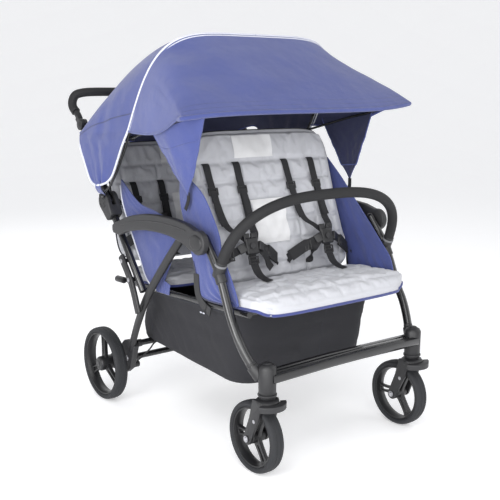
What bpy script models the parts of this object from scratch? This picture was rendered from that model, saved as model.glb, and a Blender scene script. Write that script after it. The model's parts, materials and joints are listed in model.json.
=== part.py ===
"""Quadruple stroller: two rows of two seats under one canopy, on a tubular frame that folds.

Units are metres and +Z is up. The front looks along -Y and the left side is at -X.
Heights are above the ground. Lengths along Y are written from the front axle and
the whole stroller then hangs on one empty that puts the middle of its base at the origin.
"""

import math

import bmesh
import bpy
from mathutils import Matrix, Vector

# Fits between neighbouring pieces
GAP = 0.0003
RUNNING_GAP = 0.0006

# Wheels
FRONT_WHEEL_RADIUS = 0.100
FRONT_WHEEL_WIDTH = 0.0426
FRONT_HALF_TRACK = 0.2787
REAR_WHEEL_RADIUS = 0.1211
REAR_WHEEL_WIDTH = 0.0443
REAR_HALF_TRACK = 0.3433
WHEELBASE = 0.7423
TYRE_DEPTH = 0.017
TYRE_STEPS = 20
RIM_WALL = 0.006
FRONT_HUB_RADIUS = 0.017
REAR_HUB_RADIUS = 0.024
SPOKE_WIDTH = 0.024
SPOKE_SLOT = 0.007
SPOKE_THICKNESS = 0.012
AXLE_RADIUS = 0.005
AXLE_BOLT_RADIUS = 0.009
AXLE_BOLT_LENGTH = 0.004
REAR_HUB_REACH = 0.003

# Casters: the wheel trails behind its stem
CASTER_TRAIL = 0.048
STEM_RADIUS = 0.006
STEM_TOP = 0.288
FORK_TOP = 0.2215
FORK_CROWN = 0.0175
FORK_CROWN_RADIUS = 0.033
FORK_ARM = 0.007
FORK_ARM_CLEARANCE = 0.003
FORK_BOSS_RADIUS = 0.017
HOUSING_RADIUS = 0.0245
HOUSING_TOP = 0.319
HOUSING_SOCKET = 0.030
LOCK_INNER_RADIUS = 0.0345
LOCK_OUTER_RADIUS = 0.0515
LOCK_THICKNESS = 0.0055
LOCK_HEIGHT = 0.211
LOCK_SPREAD = math.radians(64)
LOCK_PIVOT = -CASTER_TRAIL - 0.020
LOCK_PIN = 0.0013
LOCK_PIN_REACH = 0.037

# Tubes
MAIN_TUBE = 0.0115
FRONT_TUBE = 0.0125
RAIL_TUBE = 0.009
CROSS_TUBE = 0.010
REAR_BAR_TUBE = 0.0072
BACK_FRAME_X = 0.215
LEG_WIDE = 0.0175
LEG_DEEP = 0.026
STRUT_WIDE = 0.013
STRUT_DEEP = 0.027
STRUT_RIVET = 0.0068
SPUR_UP = 0.0215

# Side planes, distances from the middle of the stroller
PUSH_TUBE_X = 0.325
FRONT_LEG_X = 0.3175
REAR_LEG_X = 0.3210
RAIL_X = 0.285
RAIL_BACK = 0.700
BUMPER_X = FRONT_LEG_X + 0.001

# Pivots and joints on a side, as (y, z)
LEG_PIVOT = (0.172, 0.612)
REAR_PIVOT = (0.292, 0.606)
LOWER_RIVET = (0.497, 0.396)
FOLD_HUB = (0.715, 0.668)
KNUCKLE = (0.884, 0.904)
PIVOT_PIN = 0.0045
FOLD_HUB_RADIUS = 0.030
FOLD_HUB_WIDTH = 0.044
FOLD_EYE = 0.014
KNUCKLE_RADIUS = 0.019

# Armrest moulding
ARMREST_WIDTH = 0.021
ARMREST_CAP_RADIUS = 0.034
ARMREST_BACK = 0.640

# Seats
PAD_HALF_WIDTH = 0.286
BACK_HALF_WIDTH = 0.272
PAD_THICKNESS = 0.046
BACK_THICKNESS = 0.034
BACK_ANGLE = math.radians(73)
FRONT_PAD_START = -0.022
FRONT_BACK_FOOT = (0.222, 0.480)
FRONT_BACK_HEIGHT = 0.430
REAR_PAD_START = 0.432
REAR_BACK_FOOT = (0.712, 0.480)
REAR_BACK_HEIGHT = 0.372
PAD_CHANNEL_DEPTH = 0.004
SEAT_SPACING = 0.145
STRAP_WIDTH = 0.024
STRAP_THICKNESS = 0.0022
STRAP_LIFT = STRAP_THICKNESS / 2 + GAP
BUCKLE_SIZE = 0.044
BUCKLE_THICKNESS = 0.014
BUTTON_SIZE = 0.018
BUTTON_TRAVEL = 0.0025

# Basket
BASKET_BOTTOM = 0.205
BASKET_HALF_WIDTH = 0.256
BASKET_FRONT = 0.040
BASKET_BACK = 0.585
BASKET_CORNER = 0.075
BASKET_WALL = 0.003

# Bumper bar
BUMPER_FOAM = 0.0150
BUMPER_ENDS = (0.113, 0.535)
BUMPER_RISE = 0.217
BUMPER_TILT = math.radians(66.4)
BUMPER_ROUNDNESS = 2.73
BUMPER_SOCKET = 0.030
BUMPER_SOCKET_RADIUS = 0.0165
BUMPER_PIN = 0.0085

# Push handle
HANDLE_HALF_WIDTH = 0.330
HANDLE_TOP = 1.024
HANDLE_REACH = 0.945
GRIP_RADIUS = 0.0145
HANDLE_TUBE = 0.011

# Canopy
CANOPY_PIVOT = (0.700, 0.690)
BOW_RADIUS = 0.004
CANOPY_SIDE_X = PUSH_TUBE_X + 0.022 + BOW_RADIUS + 0.0006
BOW_EYE = 0.009
BOW_PIN = 0.004
VISOR_SHARE = 0.86
MID_BOW_TOP = (0.373, 1.172)
MID_BOW_SHAPE = 3.2
MID_BOW_BEND = 0.045
FRONT_BOW_REACH = (0.105, 0.957)
FRONT_BOW_HALF_WIDTH = 0.418
CLOTH = 0.0024
CANOPY_SPLIT = 0.83
CANOPY_COLUMNS = 7
EAR_COLUMNS = 4
CANOPY_LIFT = (BOW_RADIUS + CLOTH / 2 + GAP) / 0.78
REAR_CLOTH_LIFT = CANOPY_LIFT - 0.0006
CLOTH_EDGE = 0.0012
EAR_START = 0.66
EAR_FRONT = [(0.3665, 0.535, 0.858), (0.369, 0.585, 0.780), (0.371, 0.619, 0.734)]
EAR_BACK = [
    (0.000, 0.856, 0.925),
    (0.130, 0.855, 0.922),
    (0.250, 0.850, 0.915),
    (0.345, 0.838, 0.895),
    (0.368, 0.826, 0.866),
    (0.370, 0.775, 0.797),
    (0.372, 0.722, 0.718),
]
FLAP_TIP = (0.310, 0.278, 0.722)

# Rear axle and brake
REAR_BRACKET_X = 0.306
REAR_BRACKET_WIDTH = 0.020
AXLE_BAR = (0.640, 0.158)
UPPER_BAR = (0.610, 0.212)
CABLE_RADIUS = 0.0025
PEDAL_PIVOT = (0.654, 0.127)
PEDAL_WIDTH = 0.030

# The box of the stroller runs from the front tyre to the back of the grip
LENGTH_CENTRE = (HANDLE_REACH + GRIP_RADIUS - FRONT_WHEEL_RADIUS) / 2


def mid_bow_point(share):
    """A point on the canopy's middle bow, for a share of -1 (left pivot) to 1 (right pivot)."""
    foot = Vector(CANOPY_PIVOT)
    top = Vector(MID_BOW_TOP)
    turn = math.pi / 2 * (1 - abs(share))
    power = 2 / MID_BOW_SHAPE
    across = math.copysign(CANOPY_SIDE_X * math.cos(turn) ** power, share)
    height = math.sin(turn) ** power
    place = foot + (top - foot) * height
    ahead = MID_BOW_BEND * math.sin(math.pi * height**0.6)
    return Vector((across, place.x - ahead, place.y))


# The front bow turns on studs of the middle bow
VISOR_PIVOT = tuple(mid_bow_point(VISOR_SHARE))[1:]


for old in list(bpy.data.objects):
    bpy.data.objects.remove(old, do_unlink=True)
scene = bpy.context.scene
parts = bpy.data.collections.new("quadruple_stroller")
tools = bpy.data.collections.new("cutters")
scene.collection.children.link(parts)
scene.collection.children.link(tools)


# Materials


def finish(name, colour, roughness, metallic=0.0):
    """A plain finish: base colour, roughness and metallic value."""
    made = bpy.data.materials.new(name)
    made.use_nodes = True
    made.diffuse_color = (*colour, 1.0)
    shader = made.node_tree.nodes["Principled BSDF"]
    shader.inputs["Base Color"].default_value = (*colour, 1.0)
    shader.inputs["Roughness"].default_value = roughness
    shader.inputs["Metallic"].default_value = metallic
    return made


TYRE = finish("tyre_rubber", (0.028, 0.029, 0.033), 0.72)
RIM = finish("rim_plastic", (0.020, 0.020, 0.022), 0.42)
TUBE = finish("black_tube", (0.012, 0.012, 0.013), 0.28, 0.35)
MOULDING = finish("moulded_plastic", (0.055, 0.055, 0.058), 0.50)
FOAM = finish("grip_foam", (0.032, 0.032, 0.034), 0.80)
BLUE = finish("blue_canvas", (0.085, 0.115, 0.330), 0.85)
GREY = finish("grey_padding", (0.600, 0.610, 0.640), 0.88)
MESH = finish("basket_cloth", (0.022, 0.022, 0.024), 0.80)
WEBBING = finish("webbing", (0.012, 0.012, 0.012), 0.75)


# Shapes: each returns a mesh object in stroller coordinates


def held(name, data):
    """A new object among the cutters, where shapes stay until they become a part."""
    made = bpy.data.objects.new(name, data)
    tools.objects.link(made)
    made.hide_render = True
    made.display_type = "WIRE"
    return made


def evaluated_mesh(source):
    """The source's final mesh in stroller coordinates, welded; the source goes."""
    bpy.context.view_layer.update()
    graph = bpy.context.evaluated_depsgraph_get()
    mesh = bpy.data.meshes.new_from_object(source.evaluated_get(graph))
    mesh.transform(source.matrix_world)
    name = source.name
    bpy.data.objects.remove(source, do_unlink=True)
    bm = bmesh.new()
    bm.from_mesh(mesh)
    bmesh.ops.remove_doubles(bm, verts=bm.verts, dist=1e-6)
    bmesh.ops.recalc_face_normals(bm, faces=bm.faces)
    bm.to_mesh(mesh)
    bm.free()
    return held(name, mesh)


def combine(body, others, operation):
    """The body joined with, or cut by, the other solids, which go."""
    for other in others:
        step = body.modifiers.new("combine", "BOOLEAN")
        step.operation = operation
        step.object = other
    made = evaluated_mesh(body)
    for other in others:
        bpy.data.objects.remove(other, do_unlink=True)
    return made


def joined(body, *others):
    return combine(body, others, "UNION")


def cut(body, *others):
    return combine(body, others, "DIFFERENCE")


def path_curve(points, closed=False):
    curve = bpy.data.curves.new("path", "CURVE")
    curve.dimensions = "3D"
    curve.twist_mode = "Z_UP"
    line = curve.splines.new("POLY")
    line.points.add(len(points) - 1)
    for slot, point in zip(line.points, points):
        slot.co = (*point, 1.0)
    line.use_cyclic_u = closed
    return curve


def tube(points, radius, fineness=2):
    """A round bar along the points, with closed ends."""
    curve = path_curve(points)
    curve.twist_mode = "MINIMUM"
    curve.bevel_depth = radius
    curve.bevel_resolution = fineness
    curve.use_fill_caps = True
    return evaluated_mesh(held("tube", curve))


def profile_bar(points, outline):
    """A bar of the outline's section along the points; its X lies level, its Y up."""
    section = bpy.data.curves.new("section", "CURVE")
    section.dimensions = "2D"
    line = section.splines.new("POLY")
    line.points.add(len(outline) - 1)
    for slot, (across, up) in zip(line.points, outline):
        slot.co = (across, up, 0.0, 1.0)
    line.use_cyclic_u = True
    guide = held("section", section)
    curve = path_curve(points)
    curve.bevel_mode = "OBJECT"
    curve.bevel_object = guide
    curve.use_fill_caps = True
    made = evaluated_mesh(held("bar", curve))
    bpy.data.objects.remove(guide, do_unlink=True)
    return made


def oval(wide, deep, steps=4):
    """A stadium outline, wide across and deep along Y."""
    radius = wide / 2
    reach = deep / 2 - radius
    upper = arc(0.0, reach, radius, 0.0, 180.0, steps)
    lower = arc(0.0, -reach, radius, 180.0, 360.0, steps)
    return upper + lower


def arc(centre_a, centre_b, radius, start, end, steps):
    """Points on an arc, with angles in degrees, both ends included."""
    turns = [math.radians(start + (end - start) * k / steps) for k in range(steps + 1)]
    return [(centre_a + radius * math.cos(t), centre_b + radius * math.sin(t)) for t in turns]


def spline(points, steps):
    """Points on one smooth curve through the given ones."""
    knots = [Vector(p) for p in points]
    knots = [2 * knots[0] - knots[1]] + knots + [2 * knots[-1] - knots[-2]]
    made = []
    for k in range(1, len(knots) - 2):
        before, here, there, after = knots[k - 1 : k + 3]
        for step in range(steps):
            t = step / steps
            made.append(
                0.5
                * (
                    2 * here
                    + (there - before) * t
                    + (2 * before - 5 * here + 4 * there - after) * t**2
                    + (3 * here - before - 3 * there + after) * t**3
                )
            )
    made.append(knots[-2])
    return made


def bent(corners, radius, steps=3):
    """A path through the corners, each rounded with an arc of about the radius."""
    knots = [Vector(p) for p in corners]
    made = [knots[0]]
    for before, here, after in zip(knots, knots[1:], knots[2:]):
        into = (before - here).normalized()
        out = (after - here).normalized()
        reach = min(radius, (before - here).length * 0.45, (after - here).length * 0.45)
        for step in range(steps + 1):
            t = step / steps
            made.append(here + into * reach * (1 - t) ** 2 + out * reach * t**2)
    made.append(knots[-1])
    return made


def turned(profile, centre, axis="X", steps=28, phase=0.0):
    """A turned solid: the profile's (radius, height) runs down its outer side; height is along the axis."""
    mesh = bpy.data.meshes.new("profile")
    bm = bmesh.new()
    corners = [bm.verts.new((radius, 0.0, height)) for radius, height in profile]
    ring = profile[0][0] > 0 and profile[-1][0] > 0
    for first, second in zip(corners, corners[1:]):
        bm.edges.new((first, second))
    if ring:
        bm.edges.new((corners[-1], corners[0]))
    bm.to_mesh(mesh)
    bm.free()
    blank = held("turned", mesh)
    screw = blank.modifiers.new("screw", "SCREW")
    screw.steps = steps
    screw.render_steps = steps
    screw.use_merge_vertices = True
    screw.merge_threshold = 0.00001
    turn = {"X": Matrix.Rotation(math.pi / 2, 4, "Y"), "Z": Matrix.Identity(4)}[axis]
    blank.matrix_world = Matrix.Translation(centre) @ turn @ Matrix.Rotation(phase, 4, "Z")
    return evaluated_mesh(blank)


def rod(start, end, radius, steps=12):
    """A plain cylinder from start to end."""
    start = Vector(start)
    line = Vector(end) - start
    mesh = bpy.data.meshes.new("rod")
    bm = bmesh.new()
    place = Matrix.Translation(start + line / 2) @ line.to_track_quat("Z", "Y").to_matrix().to_4x4()
    bmesh.ops.create_cone(
        bm, cap_ends=True, segments=steps, radius1=radius, radius2=radius, depth=line.length, matrix=place
    )
    bm.to_mesh(mesh)
    bm.free()
    return held("rod", mesh)


def plate(outline, inner, outer, edge=0.0, holes=()):
    """A flat piece in a plane across X: its (y, z) outline, from x inner to x outer."""
    curve = bpy.data.curves.new("plate", "CURVE")
    curve.dimensions = "2D"
    curve.fill_mode = "BOTH"
    for loop in (outline, *holes):
        line = curve.splines.new("POLY")
        line.points.add(len(loop) - 1)
        for slot, (along, up) in zip(line.points, loop):
            slot.co = (along, up, 0.0, 1.0)
        line.use_cyclic_u = True
    curve.extrude = abs(outer - inner) / 2 - edge
    curve.bevel_depth = edge
    curve.bevel_resolution = 0
    curve.offset = -edge
    made = held("plate", curve)
    facing = Matrix(((0, 0, 1, 0), (1, 0, 0, 0), (0, 1, 0, 0), (0, 0, 0, 1)))
    made.matrix_world = Matrix.Translation(((inner + outer) / 2, 0.0, 0.0)) @ facing
    return evaluated_mesh(made)


def floor_plate(outline, low, high, edge=0.0):
    """A flat piece lying level: its (x, y) outline, from low to high."""
    curve = bpy.data.curves.new("plate", "CURVE")
    curve.dimensions = "2D"
    curve.fill_mode = "BOTH"
    line = curve.splines.new("POLY")
    line.points.add(len(outline) - 1)
    for slot, (across, along) in zip(line.points, outline):
        slot.co = (across, along, 0.0, 1.0)
    line.use_cyclic_u = True
    curve.extrude = (high - low) / 2 - edge
    curve.bevel_depth = edge
    curve.bevel_resolution = 0
    curve.offset = -edge
    made = held("plate", curve)
    made.matrix_world = Matrix.Translation((0.0, 0.0, (low + high) / 2))
    return evaluated_mesh(made)


def sheet(place, columns, rows, thickness, offset=0.0):
    """Cloth on the surface place(a, b), for a and b from 0 to 1, with its thickness."""
    mesh = bpy.data.meshes.new("sheet")
    bm = bmesh.new()
    bmesh.ops.create_grid(bm, x_segments=columns, y_segments=rows, size=1.0)
    for vert in bm.verts:
        vert.co = place((vert.co.x + 1) / 2, (vert.co.y + 1) / 2)
    bm.to_mesh(mesh)
    bm.free()
    blank = held("sheet", mesh)
    solid = blank.modifiers.new("thickness", "SOLIDIFY")
    solid.thickness = thickness
    solid.offset = offset
    return evaluated_mesh(blank)


def ribbon(points, width, thickness):
    """A strap along the points, as wide as given along X."""
    mesh = bpy.data.meshes.new("ribbon")
    bm = bmesh.new()
    corners = [bm.verts.new(Vector(p) - Vector((width / 2, 0, 0))) for p in points]
    edges = [bm.edges.new(pair) for pair in zip(corners, corners[1:])]
    spread = bmesh.ops.extrude_edge_only(bm, edges=edges)
    moved = [item for item in spread["geom"] if isinstance(item, bmesh.types.BMVert)]
    bmesh.ops.translate(bm, verts=moved, vec=(width, 0, 0))
    bm.to_mesh(mesh)
    bm.free()
    blank = held("ribbon", mesh)
    solid = blank.modifiers.new("thickness", "SOLIDIFY")
    solid.thickness = thickness
    solid.offset = 0.0
    return evaluated_mesh(blank)


def cushion(shape, columns, rows):
    """A closed pad: shape(a, b, c) places its points, a and b from 0 to 1, c 0 below and 1 above."""
    mesh = bpy.data.meshes.new("cushion")
    bm = bmesh.new()
    bmesh.ops.create_grid(bm, x_segments=columns, y_segments=rows, size=1.0)
    walls = bmesh.ops.extrude_face_region(bm, geom=bm.faces[:])
    above = {item for item in walls["geom"] if isinstance(item, bmesh.types.BMVert)}
    for vert in bm.verts:
        vert.co = shape((vert.co.x + 1) / 2, (vert.co.y + 1) / 2, 1.0 if vert in above else 0.0)
    rim = [edge for edge in bm.edges if (edge.verts[0] in above) != (edge.verts[1] in above)]
    bmesh.ops.subdivide_edges(bm, edges=rim, cuts=1, use_grid_fill=False)
    bmesh.ops.recalc_face_normals(bm, faces=bm.faces)
    bm.to_mesh(mesh)
    bm.free()
    return held("cushion", mesh)


# Bodies: an empty on each joint's axis carries the pieces that move with it

origin = bpy.data.objects.new("stroller_frame", None)
parts.objects.link(origin)
origin.location = (0.0, -LENGTH_CENTRE, 0.0)


def group(name, place, parent=None):
    """An empty at a joint, in stroller coordinates, on the body that carries it."""
    made = bpy.data.objects.new(name, None)
    parts.objects.link(made)
    carrier = parent or origin
    made["place"] = tuple(place)
    base = Vector(carrier["place"]) if parent else Vector((0, 0, 0))
    made.parent = carrier
    made.location = Vector(place) - base
    return made


def part(name, shape, material, body=None, sharp=40.0):
    """Makes the shape a named sub-part: its finish, its smooth faces and the body it rides on."""
    base = Vector(body["place"]) if body else Vector((0, 0, 0))
    shape.data.transform(Matrix.Translation(-base))
    shape.name = name
    shape.data.name = name
    shape.data.materials.clear()
    shape.data.materials.append(material)
    shape.data.shade_smooth()
    shape.data.set_sharp_from_angle(angle=math.radians(sharp))
    shape.hide_render = False
    shape.display_type = "TEXTURED"
    tools.objects.unlink(shape)
    parts.objects.link(shape)
    shape.parent = body or origin
    return shape


def side_name(side):
    return "l" if side < 0 else "r"


def at(x, yz):
    return Vector((x, yz[0], yz[1]))


def on_line(start, end, distance):
    """The (y, z) point at a distance from start towards end."""
    a = Vector(start)
    return a + (Vector(end) - a).normalized() * distance


front_frame = group("front_frame_axis", (0.0, *LEG_PIVOT))
rear_frame = group("rear_frame_axis", (0.0, *REAR_PIVOT))
handle_frame = group("handle_axis", (0.0, *FOLD_HUB))
grip_frame = group("grip_axis", (0.0, *KNUCKLE), handle_frame)
bumper_frame = group("bumper_slide", (0.0, *BUMPER_ENDS), front_frame)
canopy_mid = group("canopy_mid_axis", (0.0, *CANOPY_PIVOT))
canopy_front = group("canopy_front_axis", (0.0, *VISOR_PIVOT), canopy_mid)


# Wheels


def wheel(side, label, radius, width, hub_radius, centre, hub_ends, bore, spin, first_spoke):
    """A tyre on a rim with three slotted spokes.

    The hub's ends and its bore are given as inboard and outboard reaches along X.
    """
    inner = radius - TYRE_DEPTH
    half = width / 2
    facet = math.pi / TYRE_STEPS
    tread_radius = radius / math.cos(facet)
    tread = [
        (inner, 0.36 * width),
        (inner + 0.006, half),
        (tread_radius - 0.005, 0.40 * width),
        (tread_radius, 0.16 * width),
        (tread_radius, -0.16 * width),
        (tread_radius - 0.005, -0.40 * width),
        (inner + 0.006, -half),
        (inner, -0.36 * width),
    ]
    part(f"{label}_tyre_{side_name(side)}", turned(tread, centre, "X", TYRE_STEPS, facet), TYRE, spin)
    seat = inner - GAP
    band = [
        (seat, 0.34 * width),
        (seat, -0.34 * width),
        (seat - RIM_WALL, -0.34 * width),
        (seat - RIM_WALL * 1.6, 0.0),
        (seat - RIM_WALL, 0.34 * width),
    ]
    rim = turned(band, centre, "X", TYRE_STEPS, facet)
    low, high = hub_ends
    taper = hub_radius * 0.80
    hub = [
        (0.0, high),
        (taper, high),
        (hub_radius, high - 0.004),
        (hub_radius, low + 0.004),
        (taper, low),
        (0.0, low),
    ]
    if side < 0:
        hub = [(r, -h) for r, h in reversed(hub)]
    spokes = []
    root = hub_radius * 0.7
    tip = seat - RIM_WALL * 0.5
    for k in range(3):
        turn = math.radians(first_spoke + 120 * k)
        ahead = Vector((math.cos(turn), math.sin(turn)))
        across = Vector((-ahead.y, ahead.x))

        def spot(reach, offset):
            place = Vector(centre[1:]) + ahead * reach + across * offset
            return (place.x, place.y)

        wide = SPOKE_WIDTH / 2
        loop = [spot(root, -wide), spot(tip, -wide * 0.9), spot(tip, wide * 0.9), spot(root, wide)]
        slot = SPOKE_SLOT / 2
        near = hub_radius + 0.008
        far = tip - RIM_WALL * 1.6
        hole = [spot(near, -slot * 0.6), spot(far, -slot), spot(far, slot), spot(near, slot * 0.6)]
        middle = centre[0]
        thick = SPOKE_THICKNESS / 2
        spokes.append(plate(loop, middle - thick, middle + thick, 0.0, [hole]))
    rim = joined(rim, *spokes)
    rim = joined(rim, turned(hub, centre, steps=12))
    inside, outside = (value * side for value in bore)
    drill = rod(
        (centre[0] + inside, *centre[1:]), (centre[0] + outside, *centre[1:]), AXLE_RADIUS + GAP, 10
    )
    part(f"{label}_rim_{side_name(side)}", cut(rim, drill), RIM, spin)


def front_corner(side):
    """A caster: fork, stem, wheel and the foot lever that locks its swivel."""
    name = side_name(side)
    middle = side * FRONT_HALF_TRACK
    stem = (middle, -CASTER_TRAIL)
    swivel = group(f"swivel_axis_{name}", (middle, -CASTER_TRAIL, FORK_TOP), front_frame)
    spin = group(f"front_wheel_axis_{name}", (middle, 0.0, FRONT_WHEEL_RADIUS), swivel)
    arm_inner = FRONT_WHEEL_WIDTH / 2 + FORK_ARM_CLEARANCE
    arm_outer = arm_inner + FORK_ARM
    hub_half = arm_inner - RUNNING_GAP
    wheel(
        side,
        "front",
        FRONT_WHEEL_RADIUS,
        FRONT_WHEEL_WIDTH,
        FRONT_HUB_RADIUS,
        (middle, 0.0, FRONT_WHEEL_RADIUS),
        (-hub_half, hub_half),
        (-2 * hub_half, 2 * hub_half),
        spin,
        -5,
    )
    boss = arc(0.0, FRONT_WHEEL_RADIUS, FORK_BOSS_RADIUS, -150, 50, 8)
    crown_low = FORK_TOP - FORK_CROWN
    arm = boss + [
        (-0.010, 0.165),
        (-CASTER_TRAIL + 0.026, crown_low + 0.004),
        (-CASTER_TRAIL + 0.024, FORK_TOP - 0.002),
        (-CASTER_TRAIL - 0.010, FORK_TOP - 0.002),
        (-CASTER_TRAIL - 0.011, crown_low),
        (-0.050, 0.168),
        (-0.026, 0.120),
    ]
    crown = [
        (0.0, FORK_TOP),
        (FORK_CROWN_RADIUS - 0.006, FORK_TOP),
        (FORK_CROWN_RADIUS, FORK_TOP - 0.005),
        (FORK_CROWN_RADIUS, crown_low + 0.002),
        (FORK_CROWN_RADIUS - 0.003, crown_low),
        (0.0, crown_low),
    ]
    fork = turned(crown, (*stem, 0.0), "Z", 14)
    arms = [
        plate(arm, middle + way * arm_inner, middle + way * arm_outer) for way in (-1, 1)
    ]
    axle_end = arm_outer + AXLE_BOLT_LENGTH
    axle = rod(
        (middle - arm_outer, 0.0, FRONT_WHEEL_RADIUS),
        (middle + arm_outer, 0.0, FRONT_WHEEL_RADIUS),
        AXLE_RADIUS,
        10,
    )
    bolts = [
        rod(
            (middle + way * (arm_outer - 0.001), 0.0, FRONT_WHEEL_RADIUS),
            (middle + way * axle_end, 0.0, FRONT_WHEEL_RADIUS),
            AXLE_BOLT_RADIUS,
            6,
        )
        for way in (-1, 1)
    ]
    pin = rod((*stem, FORK_TOP - 0.004), (*stem, STEM_TOP), STEM_RADIUS, 12)
    fork = joined(fork, *arms)
    fork = joined(fork, axle, pin)
    hinge = rod(
        at(middle - LOCK_PIN_REACH, (LOCK_PIVOT, LOCK_HEIGHT)),
        at(middle + LOCK_PIN_REACH, (LOCK_PIVOT, LOCK_HEIGHT)),
        LOCK_PIN,
        8,
    )
    fork = joined(fork, *bolts)
    part(f"caster_fork_{name}", joined(fork, hinge), MOULDING, swivel)

    lever = group(
        f"lock_axis_{name}", (middle, LOCK_PIVOT, LOCK_HEIGHT), swivel
    )
    spread = math.degrees(LOCK_SPREAD)
    outer = arc(middle, -CASTER_TRAIL, LOCK_OUTER_RADIUS, -90 - spread, -90 + spread, 8)
    inner = arc(middle, -CASTER_TRAIL, LOCK_INNER_RADIUS, -90 + spread, -90 - spread, 8)
    paddle = floor_plate(
        outer + inner, LOCK_HEIGHT - LOCK_THICKNESS / 2, LOCK_HEIGHT + LOCK_THICKNESS / 2
    )
    inside = spread - 3
    skirt_outer = arc(middle, -CASTER_TRAIL, LOCK_OUTER_RADIUS - 0.0004, -90 - inside, -90 + inside, 8)
    skirt_inner = arc(
        middle, -CASTER_TRAIL, LOCK_OUTER_RADIUS - LOCK_THICKNESS, -90 + inside, -90 - inside, 8
    )
    skirt = floor_plate(skirt_outer + skirt_inner, LOCK_HEIGHT - 0.013, LOCK_HEIGHT)
    holes = rod(
        at(middle - LOCK_PIN_REACH - GAP, (LOCK_PIVOT, LOCK_HEIGHT)),
        at(middle + LOCK_PIN_REACH + GAP, (LOCK_PIVOT, LOCK_HEIGHT)),
        LOCK_PIN + GAP,
        8,
    )
    part(f"swivel_lock_{name}", cut(joined(paddle, skirt), holes), MOULDING, lever)


# Front frame


def front_leg_path(side):
    """The bowed leg from its pivot at the armrest down into the caster housing."""
    knots = [
        (FRONT_LEG_X, LEG_PIVOT[0] + 0.010, LEG_PIVOT[1] + 0.010),
        (FRONT_LEG_X, LEG_PIVOT[0], LEG_PIVOT[1]),
        (FRONT_LEG_X + 0.001, 0.110, 0.532),
        (FRONT_LEG_X + 0.001, 0.0620, 0.430),
        (FRONT_LEG_X, 0.0325, 0.380),
        (0.3115, 0.0106, 0.340),
        (0.2995, -0.0118, 0.302),
        (0.2900, -0.0270, 0.280),
    ]
    return [(side * x, y, z) for x, y, z in spline(knots, 2)]


def leg_socket(side, clearance):
    """The arm of the caster housing that holds the leg's lower end."""
    path = front_leg_path(side)
    end = Vector(path[-1])
    along = (end - Vector(path[-4])).normalized()
    start = end - along * (HOUSING_SOCKET + clearance)
    return rod(start, end + along * (0.006 + clearance), FRONT_TUBE + 0.0045 + clearance, 12)


def front_side(side):
    name = side_name(side)
    middle = side * FRONT_HALF_TRACK
    path = front_leg_path(side)
    leg = tube(path, FRONT_TUBE)
    sleeve_low = Vector(path[2 * 2])
    sleeve = rod(sleeve_low + Vector((0, 0.006, 0.010)), sleeve_low - Vector((0, 0.012, 0.022)), 0.0155, 16)
    rise = Vector((0.0, -math.cos(BUMPER_TILT), math.sin(BUMPER_TILT)))
    seat = at(side * BUMPER_X, BUMPER_ENDS)
    socket = rod(seat - rise * 0.010, seat + rise * BUMPER_SOCKET, BUMPER_SOCKET_RADIUS)
    leg = joined(leg, sleeve)
    leg = joined(leg, socket)
    bore = rod(seat + rise * (0.004 - GAP), seat + rise * 0.06, BUMPER_PIN + GAP)
    leg = cut(leg, bore)
    pin_hole = rod(
        at(side * (FRONT_LEG_X - 0.03), LEG_PIVOT),
        at(side * (FRONT_LEG_X + 0.03), LEG_PIVOT),
        PIVOT_PIN + GAP,
        10,
    )
    leg = cut(leg, pin_hole)
    part(f"front_leg_{name}", leg, TUBE, front_frame)

    bore = STEM_RADIUS + GAP
    low = FORK_TOP + RUNNING_GAP
    body = [
        (0.0, HOUSING_TOP),
        (HOUSING_RADIUS * 0.55, HOUSING_TOP - 0.0015),
        (HOUSING_RADIUS * 0.85, HOUSING_TOP - 0.006),
        (HOUSING_RADIUS, HOUSING_TOP - 0.014),
        (HOUSING_RADIUS, HOUSING_TOP - 0.030),
        (HOUSING_RADIUS - 0.0010, low + 0.004),
        (HOUSING_RADIUS - 0.0030, low),
        (0.0, low),
    ]
    housing = turned(body, (middle, -CASTER_TRAIL, 0.0), "Z", 16)
    housing = joined(housing, leg_socket(side, 0.0))
    further = Vector(path[-1]) + (Vector(path[-1]) - Vector(path[-2])).normalized() * GAP
    bore_cut = tube([*path, further], FRONT_TUBE + GAP)
    stem_bore = rod(
        (middle, -CASTER_TRAIL, low - 0.01), (middle, -CASTER_TRAIL, STEM_TOP + GAP), bore, 12
    )
    housing = cut(housing, bore_cut, stem_bore)
    part(f"caster_housing_{name}", housing, MOULDING, front_frame)


def footrest():
    """A moulded step between the two caster housings, ribbed on top."""
    half = FRONT_HALF_TRACK
    rib = 0.003
    outline = [
        (0.024, -0.012),
        (0.028, -0.004),
        (0.026, 0.010),
        (0.018, 0.014),
        (0.016, 0.014 - rib),
        (0.010, 0.014 - rib),
        (0.008, 0.014),
        (0.002, 0.014),
        (0.000, 0.014 - rib),
        (-0.006, 0.014 - rib),
        (-0.008, 0.014),
        (-0.020, 0.014),
        (-0.027, 0.008),
        (-0.027, -0.006),
        (-0.021, -0.014),
    ]
    stations = [k / 10 for k in range(-10, 11, 4)]
    path = [(half * s, -CASTER_TRAIL + 0.010 * (1 - s * s), 0.279) for s in stations]
    step = profile_bar(path, outline)
    cutters = [
        turned(
            [
                (0.0, HOUSING_TOP + 0.01),
                (HOUSING_RADIUS + GAP, HOUSING_TOP + 0.01),
                (HOUSING_RADIUS + GAP, FORK_TOP),
                (0.0, FORK_TOP),
            ],
            (way * half, -CASTER_TRAIL, 0.0),
            "Z",
            24,
        )
        for way in (-1, 1)
    ]
    outside = []
    for way in (-1, 1):
        mesh = bpy.data.meshes.new("trim")
        bm = bmesh.new()
        place = Matrix.Translation((way * (half + 0.05), -CASTER_TRAIL, 0.28))
        bmesh.ops.create_cube(bm, size=0.1, matrix=place)
        bm.to_mesh(mesh)
        bm.free()
        outside.append(held("trim", mesh))
    step = cut(step, *cutters, *outside)
    step = cut(step, *[leg_socket(way, GAP) for way in (-1, 1)])
    part("footrest", step, MOULDING, front_frame)


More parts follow.
